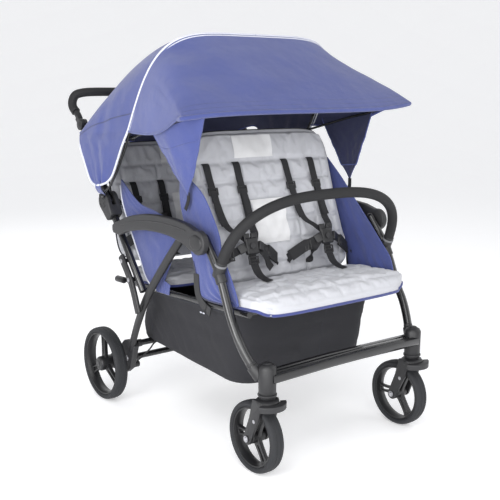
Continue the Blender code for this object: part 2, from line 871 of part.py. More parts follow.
def bumper_point(turn):
    """A point on the middle line of the bumper bar, for an angle from 0 to pi."""
    power = 2 / BUMPER_ROUNDNESS
    across = abs(math.cos(turn)) ** power * BUMPER_X
    up = abs(math.sin(turn)) ** power * BUMPER_RISE
    side = -1 if math.cos(turn) > 0 else 1
    return Vector(
        (
            side * across,
            BUMPER_ENDS[0] - up * math.cos(BUMPER_TILT),
            BUMPER_ENDS[1] + up * math.sin(BUMPER_TILT),
        )
    )


def bumper_bar():
    """The foam bar in front of the children; a pin at each end stands in a sleeve of the front legs."""
    steps = 18
    rise = Vector((0.0, -math.cos(BUMPER_TILT), math.sin(BUMPER_TILT)))
    start = BUMPER_SOCKET + GAP
    arch = [bumper_point(math.pi * k / steps) for k in range(1, steps)]
    seats = [at(side * BUMPER_X, BUMPER_ENDS) for side in (-1, 1)]
    ends = [[seat + rise * start, seat + rise * (start + 0.008)] for seat in seats]
    path = [*ends[0], *arch, *reversed(ends[1])]
    pins = [rod(seat + rise * 0.004, seat + rise * (start + 0.010), BUMPER_PIN) for seat in seats]
    part("bumper_bar", joined(tube(path, BUMPER_FOAM), *pins), FOAM, bumper_frame)


# Rear frame


def rear_leg_path(side):
    """The flat-oval leg from its pivot at the armrest down to the wheel bracket."""
    top = on_line(REAR_PIVOT, LOWER_RIVET, -0.012)
    knots = [
        at(side * REAR_LEG_X, top),
        at(side * REAR_LEG_X, (0.395, 0.502)),
        at(side * REAR_LEG_X, (0.490, 0.396)),
        at(side * REAR_LEG_X, (0.545, 0.312)),
        at(side * (REAR_LEG_X - 0.005), (0.590, 0.240)),
        at(side * (REAR_BRACKET_X + 0.003), (0.622, 0.192)),
    ]
    return spline(knots, 2)


def rear_side(side):
    name = side_name(side)
    path = rear_leg_path(side)
    leg = profile_bar(path, oval(LEG_WIDE, LEG_DEEP))
    hole = rod(
        at(side * (REAR_LEG_X - 0.03), REAR_PIVOT),
        at(side * (REAR_LEG_X + 0.03), REAR_PIVOT),
        PIVOT_PIN + GAP,
        10,
    )
    part(f"rear_leg_{name}", cut(leg, hole), MOULDING, rear_frame)

    inner = side * (REAR_BRACKET_X - REAR_BRACKET_WIDTH / 2)
    outer = side * (REAR_BRACKET_X + REAR_BRACKET_WIDTH / 2)
    axle = (WHEELBASE, REAR_WHEEL_RADIUS)
    outline = arc(*axle, 0.026, -80, 60, 8) + [
        (0.700, 0.178),
        (0.660, 0.215),
        (0.618, 0.226),
        (0.592, 0.208),
        (0.606, 0.170),
        (0.622, 0.128),
        (0.650, 0.108),
        (0.690, 0.104),
    ]
    window = [(0.700, 0.128), (0.704, 0.150), (0.680, 0.172), (0.662, 0.150), (0.672, 0.128)]
    bracket = plate(outline, inner, outer, 0.002, [window])
    pin_start = side * (REAR_BRACKET_X + REAR_BRACKET_WIDTH / 2 - 0.003)
    pin_end = side * (REAR_HALF_TRACK + 0.012)
    pin = rod(at(pin_start, axle), at(pin_end, axle), AXLE_RADIUS, 10)
    pedal_root = at(inner + side * 0.004, PEDAL_PIVOT)
    pedal_pin = rod(pedal_root, at(inner - side * 0.026, PEDAL_PIVOT), PIVOT_PIN, 10)
    bracket = joined(bracket, pin)
    if side < 0:
        bracket = joined(bracket, pedal_pin)
    else:
        bpy.data.objects.remove(pedal_pin, do_unlink=True)
    further = path[-1] + (path[-1] - path[-2]).normalized() * GAP
    socket = profile_bar([*path, further], oval(LEG_WIDE + 2 * GAP, LEG_DEEP + 2 * GAP))
    part(f"rear_bracket_{name}", cut(bracket, socket), MOULDING, rear_frame)

    spin = group(
        f"rear_wheel_axis_{name}", (side * REAR_HALF_TRACK, WHEELBASE, REAR_WHEEL_RADIUS), rear_frame
    )
    inboard = -(REAR_HALF_TRACK - REAR_BRACKET_X - REAR_BRACKET_WIDTH / 2 - RUNNING_GAP)
    wheel(
        side,
        "rear",
        REAR_WHEEL_RADIUS,
        REAR_WHEEL_WIDTH,
        REAR_HUB_RADIUS,
        (side * REAR_HALF_TRACK, WHEELBASE, REAR_WHEEL_RADIUS),
        (inboard, REAR_WHEEL_WIDTH / 2 + REAR_HUB_REACH),
        (inboard - 0.01, 0.012 + GAP),
        spin,
        90,
    )


def rear_axle_parts():
    reach = REAR_BRACKET_X - REAR_BRACKET_WIDTH / 2 - GAP
    part(
        "rear_axle_tube",
        rod(at(-reach, AXLE_BAR), at(reach, AXLE_BAR), CROSS_TUBE, 16),
        TUBE,
        rear_frame,
    )
    part(
        "rear_crossbar",
        rod(at(-reach, UPPER_BAR), at(reach, UPPER_BAR), CROSS_TUBE, 16),
        TUBE,
        rear_frame,
    )
    pedal_axis = group("pedal_axis", (0.0, *PEDAL_PIVOT), rear_frame)
    outline = arc(*PEDAL_PIVOT, 0.011, 60, 240, 8) + [
        (0.700, 0.106),
        (0.735, 0.094),
        (0.742, 0.099),
        (0.738, 0.108),
        (0.706, 0.124),
    ]
    pedal = plate(outline, -reach, -reach + PEDAL_WIDTH, 0.0015)
    hole_end = at(-reach + PEDAL_WIDTH - 0.003, PEDAL_PIVOT)
    hole = rod(at(-reach - 0.01, PEDAL_PIVOT), hole_end, PIVOT_PIN + GAP, 10)
    pedal = cut(pedal, hole)
    part("brake_pedal", pedal, MOULDING, pedal_axis)
    ahead = UPPER_BAR[0] - CROSS_TUBE - CABLE_RADIUS - GAP
    half = [
        (reach - 0.002, AXLE_BAR[0] - 0.026, AXLE_BAR[1] - 0.006),
        (reach - 0.016, AXLE_BAR[0] - 0.030, AXLE_BAR[1] + 0.004),
        (reach - 0.036, ahead - 0.006, UPPER_BAR[1] - 0.022),
        (reach - 0.062, ahead, UPPER_BAR[1] - 0.004),
        (reach - 0.100, ahead, UPPER_BAR[1]),
    ]
    knots = [(-x, y, z) for x, y, z in half] + half[::-1]
    part("brake_cable", tube(spline(knots, 2), CABLE_RADIUS, 2), WEBBING, rear_frame)


# Seat frame, push tubes and armrests


def rail_height(y):
    """The height of a seat rail's middle line at y: it falls slightly towards the back."""
    return 0.432 - 0.045 * (y - 0.05)


def seat_frame():
    left = [(-RAIL_X, 0.020 + 0.068 * k, rail_height(0.020 + 0.068 * k)) for k in range(9)]
    corner = [(-RAIL_X, RAIL_BACK, rail_height(RAIL_BACK)), (RAIL_X, RAIL_BACK, rail_height(RAIL_BACK))]
    right = [(-x, y, z) for x, y, z in reversed(left)]
    path = bent([left[0], left[-1], *corner, right[0], right[-1]], 0.05)
    frame = tube(path, RAIL_TUBE)
    part("seat_frame", frame, TUBE)
    reach = RAIL_X - RAIL_TUBE - GAP
    y = 0.045
    part(
        "seat_front_tube",
        rod((-reach, y, rail_height(y)), (reach, y, rail_height(y)), RAIL_TUBE, 16),
        TUBE,
    )


def push_side(side):
    """The fixed lower push tube, its strut, the fold hub and the armrest moulding."""
    name = side_name(side)
    x = side * PUSH_TUBE_X
    foot = on_line(LOWER_RIVET, FOLD_HUB, LEG_DEEP / 2 + 0.003)
    head = on_line(FOLD_HUB, LOWER_RIVET, FOLD_HUB_RADIUS - 0.008)
    post = rod(at(x, foot), at(x, head), MAIN_TUBE, 16)
    spur = rod(
        at(side * (RAIL_X + RAIL_TUBE + GAP), on_line(LOWER_RIVET, FOLD_HUB, SPUR_UP)),
        at(x, on_line(LOWER_RIVET, FOLD_HUB, SPUR_UP)),
        0.006,
        12,
    )
    part(f"push_tube_{name}", joined(post, spur), TUBE)

    strut_x = side * (PUSH_TUBE_X + MAIN_TUBE + GAP + STRUT_WIDE / 2)
    line = (Vector(FOLD_HUB) - Vector(LOWER_RIVET)).normalized()
    below = Vector((line.y, -line.x)) * (MAIN_TUBE + GAP + STRUT_RIVET)

    def beside(up, further=0.0):
        return on_line(LOWER_RIVET, FOLD_HUB, up) + below * (1 + further)

    strut_path = spline([at(strut_x, beside(u, f)) for u, f in ((0.155, 0), (0.060, 0), (-0.034, 1.3))], 2)
    strut = profile_bar(strut_path, oval(STRUT_WIDE, STRUT_DEEP))
    rivets = [
        rod(at(strut_x, beside(up)), at(side * (PUSH_TUBE_X - 0.006), beside(up)), STRUT_RIVET, 10)
        for up in (0.138, 0.070)
    ]
    part(f"side_strut_{name}", joined(strut, *rivets), MOULDING)

    up = (Vector(FOLD_HUB) - Vector(LOWER_RIVET)).normalized()
    turn = math.degrees(math.atan2(up.y, up.x))
    outline = arc(*FOLD_HUB, FOLD_HUB_RADIUS, turn - 100, turn + 100, 10) + [
        tuple(on_line(FOLD_HUB, LOWER_RIVET, 0.062) + Vector((-up.y, up.x)) * 0.018),
        tuple(on_line(FOLD_HUB, LOWER_RIVET, 0.062) - Vector((-up.y, up.x)) * 0.018),
    ]
    half = FOLD_HUB_WIDTH / 2
    hub = plate(outline, x - half, x + half, 0.003)
    slot_half = FOLD_EYE / 2 + RUNNING_GAP
    slot = plate(
        arc(*FOLD_HUB, FOLD_HUB_RADIUS + 0.010, 0, 330, 11), x - slot_half, x + slot_half
    )
    keep = rod(at(x - slot_half * 1.2, FOLD_HUB), at(x + slot_half * 1.2, FOLD_HUB), PIVOT_PIN, 10)
    channel = rod(at(x, on_line(FOLD_HUB, LOWER_RIVET, 0.070)), at(x, FOLD_HUB), MAIN_TUBE + GAP, 16)
    stub = rod(
        at(x + side * (half - 0.004), CANOPY_PIVOT),
        at(side * (CANOPY_SIDE_X + 3 * BOW_RADIUS + 4 * GAP), CANOPY_PIVOT),
        BOW_PIN,
        10,
    )
    hub = joined(cut(hub, slot, channel), keep, stub)
    part(f"fold_hub_{name}", hub, MOULDING)

    top = [(0.614, 0.617), (0.556, 0.637), (0.476, 0.654), (0.397, 0.662), (0.296, 0.663), (0.226, 0.657)]
    under = [(0.205, 0.586), (0.250, 0.601), (0.330, 0.612), (0.425, 0.611), (0.496, 0.603), (0.565, 0.589)]
    top_points = [(p.x, p.y) for p in spline([(y, z, 0) for y, z in top], 2)]
    under_points = [(p.x, p.y) for p in spline([(y, z, 0) for y, z in under], 2)]
    cap = arc(*LEG_PIVOT, ARMREST_CAP_RADIUS, 75, 300, 14)
    back = [(0.612, 0.573), (ARMREST_BACK + 0.008, 0.578), (ARMREST_BACK + 0.010, 0.600)]
    inner = side * (REAR_LEG_X + LEG_WIDE / 2 + RUNNING_GAP)
    outer = inner + side * ARMREST_WIDTH
    arm = plate(top_points + cap + under_points + back, inner, outer, 0.004)
    pins = []
    for place, centre in ((LEG_PIVOT, FRONT_LEG_X), (REAR_PIVOT, REAR_LEG_X)):
        pins.append(rod(at(inner + side * 0.005, place), at(side * (centre - 0.012), place), PIVOT_PIN, 10))
    boss = rod(
        at(outer - side * 0.002, LEG_PIVOT),
        at(outer + side * 0.004, LEG_PIVOT),
        ARMREST_CAP_RADIUS - 0.006,
        16,
    )
    arm = joined(arm, *pins, boss)
    notch = rod(at(x, on_line(FOLD_HUB, LOWER_RIVET, -0.05)), at(x, LOWER_RIVET), MAIN_TUBE + GAP, 16)
    part(f"armrest_{name}", cut(arm, notch), MOULDING)


def back_frames():
    """The hidden tubes that hold the two backrests."""
    lean = Vector((math.cos(BACK_ANGLE), math.sin(BACK_ANGLE)))
    normal = Vector((lean.y, -lean.x))
    behind = BACK_THICKNESS + RAIL_TUBE + GAP
    foot = Vector(FRONT_BACK_FOOT) + normal * behind
    low = RAIL_X - RAIL_TUBE - GAP
    left = [
        (-low, foot.x, rail_height(foot.x)),
        (-low + 0.022, foot.x, rail_height(foot.x)),
        (-BACK_FRAME_X, *(foot + lean * 0.05)),
        (-BACK_FRAME_X, *(foot + lean * 0.385)),
    ]
    corners = left + [(-x, y, z) for x, y, z in reversed(left)]
    part("front_back_frame", tube(bent(corners, 0.035, 2), RAIL_TUBE), TUBE)
    behind = BACK_THICKNESS + REAR_BAR_TUBE + GAP
    rear = Vector(REAR_BACK_FOOT) + normal * behind + lean * 0.235
    reach = PUSH_TUBE_X - FOLD_HUB_WIDTH / 2 - GAP
    beside = BACK_HALF_WIDTH + RAIL_TUBE + 0.002
    side_spot = (FOLD_HUB[0] - 0.004, FOLD_HUB[1] - 0.012)
    left = [(-reach, *side_spot), (-beside, *side_spot), (-beside, *rear)]
    corners = left + [(-x, y, z) for x, y, z in reversed(left)]
    part("rear_back_bar", tube(bent(corners, 0.03, 2), REAR_BAR_TUBE), TUBE)


# Seats


def crown(a, b, power=4.0):
    """1 in the middle of a cushion, falling to 0 at its sides."""
    return (1 - abs(2 * a - 1) ** power) * (1 - abs(2 * b - 1) ** power)


def squared(a, b, corner):
    """Pulls the corners of a unit square in to a rounded outline."""
    u = 2 * a - 1
    v = 2 * b - 1
    pull = 1 - corner * (u * u) ** 3 * (v * v) ** 3
    return (1 + u * pull) / 2, (1 + v * pull) / 2


def channels(share, count):
    """A dip where a cross seam is sewn, 1 on the seam and 0 between seams."""
    nearest = abs(share * count - round(share * count))
    return max(0.0, 1 - nearest * 5) if 0.02 < share < 0.98 else 0.0


def back_cushion(foot, height, seams):
    """A backrest: it leans back, with sewn cross channels and round upper corners."""
    lean = Vector((math.cos(BACK_ANGLE), math.sin(BACK_ANGLE)))
    normal = Vector((lean.y, -lean.x))

    def shape(a, b, c):
        soft = crown(a, b)
        firm = crown(a, b, 12)
        a, b = squared(a, b, 0.10)
        dip = channels(b, seams) * PAD_CHANNEL_DEPTH
        front = 0.006 * (1 - soft) + dip
        rear = BACK_THICKNESS - 0.008 * (1 - firm)
        depth = rear if c < 0.5 else front
        place = Vector(foot) + lean * (height * b) + normal * depth
        return Vector((BACK_HALF_WIDTH * (2 * a - 1), place.x, place.y))

    return cushion(shape, 10, 2 * seams)


def pad_cushion(start, end, seams):
    """A seat pad on the rails, its front edge rolled down."""

    def shape(a, b, c):
        soft = crown(a, b)
        a, b = squared(a, b, 0.12)
        y = start + (end - start) * b
        floor = rail_height(y) + RAIL_TUBE + GAP
        roll = max(0.0, 0.05 - (y - start)) / 0.05
        dip = channels(b, seams) * PAD_CHANNEL_DEPTH
        top = floor + PAD_THICKNESS - 0.009 * (1 - soft) - dip - 0.010 * roll * roll
        low = floor
        return Vector((PAD_HALF_WIDTH * (2 * a - 1), y, top if c > 0.5 else low))

    return cushion(shape, 10, 2 * seams)


def side_panel(side):
    """The blue cloth beside both rows, from the seat up to the backrests."""
    x = side * (RAIL_X + RAIL_TUBE + GAP)
    low = RAIL_TUBE / 2
    outline = [
        (0.060, rail_height(0.060) - low),
        (0.068, 0.500),
        (0.092, 0.560),
        (0.108, 0.650),
        (0.200, 0.712),
        (0.310, 0.772),
        (0.346, 0.800),
        (0.334, 0.700),
        (0.290, 0.590),
        (0.242, 0.500),
        (0.232, 0.466),
        (0.300, 0.456),
        (0.430, 0.452),
        (0.390, 0.520),
        (0.345, 0.600),
        (0.330, 0.652),
        (0.450, 0.668),
        (0.570, 0.700),
        (0.684, 0.752),
        (0.700, 0.716),
        (0.640, 0.600),
        (0.575, 0.500),
        (0.535, 0.440),
        (0.492, rail_height(0.492) - low),
        (0.300, rail_height(0.300) - low),
    ]
    shape = plate(outline, x, x + side * CLOTH, 0.0)
    part(f"side_panel_{side_name(side)}", shape, BLUE)


# Harness


def harness(row, side, foot):
    """One child's harness: two shoulder straps, a lap strap and a crotch strap, sewn to one buckle."""
    name = f"{row}_{side_name(side)}"
    x = side * SEAT_SPACING
    lean = Vector((math.cos(BACK_ANGLE), math.sin(BACK_ANGLE)))
    normal = Vector((lean.y, -lean.x))

    tall = FRONT_BACK_HEIGHT if row == "front" else REAR_BACK_HEIGHT

    def on_back(across, height, lift):
        soft = crown((across / BACK_HALF_WIDTH + 1) / 2, height / tall)
        place = Vector(foot) + lean * height - normal * (lift - 0.006 * (1 - soft))
        return Vector((across, place.x, place.y))

    buckle_at = on_back(x, 0.085, 0.055)
    straps = []
    shoulder = tall * (0.765 if row == "front" else 0.70)
    for way in (-1, 1):
        spread = x + way * 0.052
        knots = [
            on_back(spread, shoulder, STRAP_LIFT),
            on_back(spread, shoulder * 0.80, STRAP_LIFT + 0.004),
            on_back(x + way * 0.040, shoulder * 0.5, STRAP_LIFT + 0.020),
            on_back(x + way * 0.012, 0.100, 0.055),
        ]
        straps.append(ribbon(spline(knots, 2), STRAP_WIDTH, STRAP_THICKNESS))
    floor = rail_height(0.15) + RAIL_TUBE + PAD_THICKNESS
    crotch = [
        buckle_at,
        Vector((x, buckle_at.y - 0.004, buckle_at.z - 0.030)),
        Vector((x, buckle_at.y - 0.030, floor + 0.018)),
        Vector((x, buckle_at.y - 0.062, floor + 0.006)),
    ]
    straps.append(ribbon(spline(crotch, 2), STRAP_WIDTH * 1.1, STRAP_THICKNESS))
    lap = [
        on_back(x - 0.105, 0.035, STRAP_LIFT + 0.012),
        on_back(x - 0.070, 0.060, 0.034),
        buckle_at,
        on_back(x + 0.070, 0.060, 0.034),
        on_back(x + 0.105, 0.035, STRAP_LIFT + 0.012),
    ]
    lap_path = spline(lap, 2)
    band = profile_bar(lap_path, [(-0.0011, -0.012), (0.0011, -0.012), (0.0011, 0.012), (-0.0011, 0.012)])
    size = BUCKLE_SIZE / 2
    mesh = bpy.data.meshes.new("buckle")
    bm = bmesh.new()
    place = Matrix.Translation(buckle_at) @ Matrix.Rotation(BACK_ANGLE - math.pi / 2, 4, "X")
    bmesh.ops.create_cube(bm, size=1.0)
    bmesh.ops.scale(bm, vec=(BUCKLE_SIZE, BUCKLE_THICKNESS, BUCKLE_SIZE * 1.1), verts=bm.verts)
    bmesh.ops.bevel(bm, geom=bm.edges[:], offset=0.004, segments=1, affect="EDGES")
    bmesh.ops.transform(bm, matrix=place, verts=bm.verts)
    bm.to_mesh(mesh)
    bm.free()
    buckle = held("buckle", mesh)
    body = joined(buckle, *straps)
    body = joined(body, band)
    out = Vector((0.0, -normal.x, -normal.y))
    face = buckle_at + out * (BUCKLE_THICKNESS / 2)
    well = rod(face + out * 0.01, face - out * (BUTTON_TRAVEL + 0.003), BUTTON_SIZE / 2 + GAP, 12)
    part(f"harness_{name}", cut(body, well), WEBBING)
    press = group(f"button_slide_{name}", face)
    button = rod(
        face + out * 0.0015, face - out * (0.003 - GAP), BUTTON_SIZE / 2, 12
    )
    part(f"buckle_button_{name}", button, MOULDING, press)


# Basket


def basket():
    """An open-topped cloth basket that hangs from the seat rails."""

    def ring(half, front, back, corner, height):
        points = []
        for cx, cy, start in (
            (half - corner, front + corner, -90),
            (half - 0.03, back - 0.03, 0),
            (-half + 0.03, back - 0.03, 90),
            (-half + corner, front + corner, 180),
        ):
            size = corner if start in (-90, 180) else 0.03
            points += arc(cx, cy, size, start, start + 90, 5)
        return [(px, py, height) for px, py in points]

    levels = [
        (BASKET_HALF_WIDTH - 0.030, BASKET_FRONT + 0.045, BASKET_BACK - 0.010, BASKET_BOTTOM),
        (BASKET_HALF_WIDTH - 0.006, BASKET_FRONT + 0.022, BASKET_BACK, BASKET_BOTTOM + 0.012),
        (BASKET_HALF_WIDTH + 0.006, BASKET_FRONT + 0.004, BASKET_BACK + 0.004, 0.270),
        (BASKET_HALF_WIDTH + 0.010, BASKET_FRONT, BASKET_BACK + 0.002, 0.340),
        (RAIL_X + 0.004, BASKET_FRONT + 0.024, BASKET_BACK, None),
    ]
    bm = bmesh.new()
    loops = []
    for half, front, back, height in levels:
        points = ring(half, front, back, BASKET_CORNER, height or 0.0)
        if height is None:
            points = [(px, py, rail_height(py) - RAIL_TUBE - 3 * GAP) for px, py, pz in points]
        loops.append([bm.verts.new(p) for p in points])
    for lower, upper in zip(loops, loops[1:]):
        edges = []
        for loop in (lower, upper):
            for first, second in zip(loop, loop[1:] + loop[:1]):
                edges.append(bm.edges.get((first, second)) or bm.edges.new((first, second)))
        bmesh.ops.bridge_loops(bm, edges=edges)
    bm.faces.new(loops[0])
    bmesh.ops.recalc_face_normals(bm, faces=bm.faces)
    mesh = bpy.data.meshes.new("basket")
    bm.to_mesh(mesh)
    bm.free()
    blank = held("basket", mesh)
    solid = blank.modifiers.new("thickness", "SOLIDIFY")
    solid.thickness = BASKET_WALL
    solid.offset = 0.0
    part("basket", evaluated_mesh(blank), MESH)


# Handle


def band(start, end, wide):
    """The (y, z) outline of a straight strip from start to end, wide being half its width."""
    corners = (Vector(start) + wide, Vector(start) - wide, Vector(end) - wide, Vector(end) + wide)
    return [tuple(corner) for corner in corners]


def handle():
    eye_half = FOLD_EYE / 2
    lap = KNUCKLE_RADIUS
    for side in (-1, 1):
        name = side_name(side)
        x = side * PUSH_TUBE_X
        start = on_line(FOLD_HUB, KNUCKLE, FOLD_HUB_RADIUS + 0.003)
        stop = on_line(KNUCKLE, FOLD_HUB, lap + 0.004)
        post = rod(at(x, start), at(x, stop), MAIN_TUBE, 16)
        eye = rod(at(x - eye_half, FOLD_HUB), at(x + eye_half, FOLD_HUB), FOLD_HUB_RADIUS - 0.010, 14)
        up = (Vector(KNUCKLE) - Vector(FOLD_HUB)).normalized()
        wide = Vector((-up.y, up.x)) * 0.010
        far = on_line(FOLD_HUB, KNUCKLE, FOLD_HUB_RADIUS + 0.012)
        neck = plate(band(FOLD_HUB, far, wide), x - eye_half, x + eye_half)
        inner = x - side * MAIN_TUBE
        disc = rod(at(inner, KNUCKLE), at(x - side * GAP, KNUCKLE), lap, 14)
        near = on_line(KNUCKLE, FOLD_HUB, lap + 0.010)
        tongue = plate(band(KNUCKLE, near, wide), inner, x - side * GAP)
        pin = rod(at(inner + side * 0.002, KNUCKLE), at(x + side * 0.008, KNUCKLE), PIVOT_PIN, 10)
        body = joined(post, neck, tongue)
        body = joined(body, eye, disc, pin)
        hole = rod(at(x - 0.03, FOLD_HUB), at(x + 0.03, FOLD_HUB), PIVOT_PIN + GAP, 10)
        part(f"handle_tube_{name}", cut(body, hole), TUBE, handle_frame)

    bend = (KNUCKLE[0] + (HANDLE_REACH - KNUCKLE[0]) * 0.56, KNUCKLE[1] + 0.034)
    out = (Vector(bend) - Vector(KNUCKLE)).normalized()
    knots = [
        at(-PUSH_TUBE_X, Vector(KNUCKLE) + out * (lap + 0.007)),
        at(-PUSH_TUBE_X, bend),
        (-HANDLE_HALF_WIDTH, HANDLE_REACH - 0.006, 0.960),
        (-HANDLE_HALF_WIDTH + 0.003, HANDLE_REACH, 0.982),
        (-HANDLE_HALF_WIDTH + 0.014, HANDLE_REACH - 0.004, 1.000),
        (-HANDLE_HALF_WIDTH + 0.040, HANDLE_REACH - 0.012, HANDLE_TOP - GRIP_RADIUS - 0.002),
        (-HANDLE_HALF_WIDTH + 0.080, HANDLE_REACH - 0.018, HANDLE_TOP - GRIP_RADIUS),
        (-HANDLE_HALF_WIDTH + 0.150, HANDLE_REACH - 0.020, HANDLE_TOP - GRIP_RADIUS),
    ]
    left = [Vector(p) for p in knots]
    right = [Vector((-p.x, p.y, p.z)) for p in reversed(left)]
    path = spline(left + right, 2)
    core = tube(path[:5], HANDLE_TUBE)
    far_core = tube(path[-5:], HANDLE_TUBE)
    grip = tube(path[3:-3], GRIP_RADIUS)
    laps = []
    for side in (-1, 1):
        x = side * PUSH_TUBE_X
        outer = x + side * MAIN_TUBE
        laps.append(rod(at(x + side * GAP, KNUCKLE), at(outer, KNUCKLE), lap, 14))
        wide = Vector((-out.y, out.x)) * 0.010
        end = Vector(KNUCKLE) + out * (lap + 0.014)
        laps.append(
            plate(band(KNUCKLE, end, wide), x + side * (GAP + 0.0008), outer - side * 0.0008)
        )
    body = joined(grip, core, far_core)
    body = joined(body, laps[0], laps[2])
    body = joined(body, laps[1], laps[3])
    holes = [
        rod(
            at(side * (PUSH_TUBE_X - 0.0005), KNUCKLE),
            at(side * (PUSH_TUBE_X + 0.009), KNUCKLE),
            PIVOT_PIN + GAP,
            10,
        )
        for side in (-1, 1)
    ]
    clear = [
        rod(
            at(side * (PUSH_TUBE_X - MAIN_TUBE - 0.002), KNUCKLE),
            at(side * PUSH_TUBE_X, KNUCKLE),
            lap + 0.0006,
            14,
        )
        for side in (-1, 1)
    ]
    part("handle_grip", cut(body, *holes, *clear), FOAM, grip_frame)


# Canopy


def front_bar_point(share):
    """A point on the front edge of the canopy, for a share of -1 to 1."""
    lift = 0.004 * (1 - share * share)
    return Vector((FRONT_BOW_HALF_WIDTH * share, FRONT_BOW_REACH[0], FRONT_BOW_REACH[1] + lift))


def between(values, share):
    """The point at a share from 0 to 1 along a smooth curve through the values."""
    path = spline(values, 6)
    place = share * (len(path) - 1)
    index = min(int(place), len(path) - 2)
    return path[index].lerp(path[index + 1], place - index)


def over_bow(share, ahead, lift=CANOPY_LIFT):
    """A point of the cloth that lies on the middle bow, a little ahead of its middle line or behind."""
    here = mid_bow_point(share)
    along = (mid_bow_point(share + 0.001) - mid_bow_point(share - 0.001)).normalized()
    lean = Vector((0.0, MID_BOW_TOP[0] - CANOPY_PIVOT[0], MID_BOW_TOP[1] - CANOPY_PIVOT[1])).normalized()
    front = Vector((1.0, 0.0, 0.0)).cross(lean)
    outward = front.cross(along).normalized()
    outward *= math.copysign(1.0, outward.z + abs(share) * outward.x * math.copysign(1.0, share))
    return here + outward * lift - front * ahead * math.copysign(1.0, front.y)


def canopy_front_point(a, b):
    """The front sheet, between the middle bow and the front bar."""
    share = 2 * a - 1
    back = over_bow(share * CANOPY_SPLIT, CLOTH_EDGE)
    front = front_bar_point(share) + Vector((0.0, 0.0, CANOPY_LIFT))
    place = back.lerp(front, b)
    place.z += 0.012 * math.sin(math.pi * b) * (1 - abs(share) ** 3)
    place.z -= 0.006 * math.sin(math.pi * b) * abs(share) ** 6
    return place


def canopy_rear_point(a, b):
    """The rear sheet: over the top behind the middle bow, and down both sides as flat ears."""
    column = abs(2 * a - 1) * (CANOPY_COLUMNS + EAR_COLUMNS)
    way = math.copysign(1.0, 2 * a - 1)
    if column <= CANOPY_COLUMNS + 0.001:
        side = EAR_START * column / CANOPY_COLUMNS
        front = over_bow(way * side / EAR_START * CANOPY_SPLIT, -CLOTH_EDGE, REAR_CLOTH_LIFT)
    else:
        down = (column - CANOPY_COLUMNS) / EAR_COLUMNS
        side = EAR_START + (1 - EAR_START) * down
        last = over_bow(CANOPY_SPLIT, -CLOTH_EDGE, REAR_CLOTH_LIFT)
        front = between([tuple(last), *EAR_FRONT], down)
        front.x *= way
    back = between(EAR_BACK, side)
    back.x *= way
    turn = b * math.pi / 2
    swept = Vector(
        (
            front.x + (back.x - front.x) * b,
            front.y + (back.y - front.y) * math.sin(turn),
            front.z + (back.z - front.z) * (1 - math.cos(turn)),
        )
    )
    flat = front.lerp(back, b)
    ear = min(max((side - EAR_START + 0.06) / 0.16, 0.0), 1.0)
    place = swept.lerp(flat, ear)
    place.x += way * 0.010 * math.sin(math.pi * b) * side**2
    return place


def canopy_flap(side):
    """The cloth that hangs below one side of the front sheet, down to a point."""

    def place(a, b):
        top = canopy_front_point(0.5 + side * 0.44, 0.16 + 0.60 * a)
        tip = Vector((side * FLAP_TIP[0], FLAP_TIP[1] + 0.03 * (0.5 - a), FLAP_TIP[2]))
        return top.lerp(tip, b * (1 - 0.25 * abs(2 * a - 1) ** 1.5 * b))

    return sheet(place, 4, 4, CLOTH)


def canopy():
    step = CANOPY_SPLIT / CANOPY_COLUMNS
    shares = [step * k for k in range(CANOPY_COLUMNS)] + [CANOPY_SPLIT, 0.90, 0.96, 1.0]
    half = [mid_bow_point(share) for share in shares]
    mid = [Vector((-p.x, p.y, p.z)) for p in half[:0:-1]] + half
    bow = tube(mid, BOW_RADIUS)
    eyes = [bow_eye(side, CANOPY_SIDE_X, CANOPY_PIVOT) for side in (-1, 1)]
    visor = mid_bow_point(VISOR_SHARE)
    place = (visor.y, visor.z)
    inside = visor.x - BOW_RADIUS
    studs = [
        rod(at(side * (visor.x - 0.001), place), at(side * (inside - 0.012), place), BOW_PIN, 10)
        for side in (-1, 1)
    ]
    bow = joined(bow, *eyes)
    bow = joined(bow, *studs)
    part("canopy_mid_bow", cut(bow, *[bow_bore(side, CANOPY_PIVOT) for side in (-1, 1)]), TUBE, canopy_mid)
    x = inside - BOW_RADIUS - 0.002
    sag = (place[1] + FRONT_BOW_REACH[1]) / 2 - 0.012
    left = [
        (-x, *place),
        (-x - 0.012, place[0] - 0.060, place[1] - 0.004),
        (-(x + FRONT_BOW_HALF_WIDTH) / 2, (place[0] + FRONT_BOW_REACH[0]) / 2, sag),
        (-FRONT_BOW_HALF_WIDTH + 0.012, FRONT_BOW_REACH[0] + 0.03, FRONT_BOW_REACH[1] - 0.004),
        (-FRONT_BOW_HALF_WIDTH + 0.022, FRONT_BOW_REACH[0] + 0.004, FRONT_BOW_REACH[1]),
    ]
    middle = [(0.0, FRONT_BOW_REACH[0], FRONT_BOW_REACH[1] + 0.004)]
    corners = left + middle + [(-px, py, pz) for px, py, pz in reversed(left)]
    bow = tube(bent(corners, 0.03, 2), BOW_RADIUS)
    bow = joined(bow, *[bow_eye(side, x, place) for side in (-1, 1)])
    part("canopy_front_bow", cut(bow, *[bow_bore(side, place) for side in (-1, 1)]), TUBE, canopy_front)
    rear = sheet(canopy_rear_point, 2 * (CANOPY_COLUMNS + EAR_COLUMNS), 5, CLOTH)
    part("canopy_rear_sheet", rear, BLUE, canopy_mid)
    front = sheet(canopy_front_point, 2 * CANOPY_COLUMNS, 5, CLOTH)
    front = joined(front, canopy_flap(-1))
    part("canopy_front_sheet", joined(front, canopy_flap(1)), BLUE, canopy_front)


def bow_eye(side, x, place):
    """The flat eye at one end of a bow."""
    half = BOW_RADIUS * 0.9
    return rod(at(side * (x - half), place), at(side * (x + half), place), BOW_EYE, 12)


def bow_bore(side, place):
    return rod(at(side * 0.30, place), at(side * 0.38, place), BOW_PIN + GAP, 10)


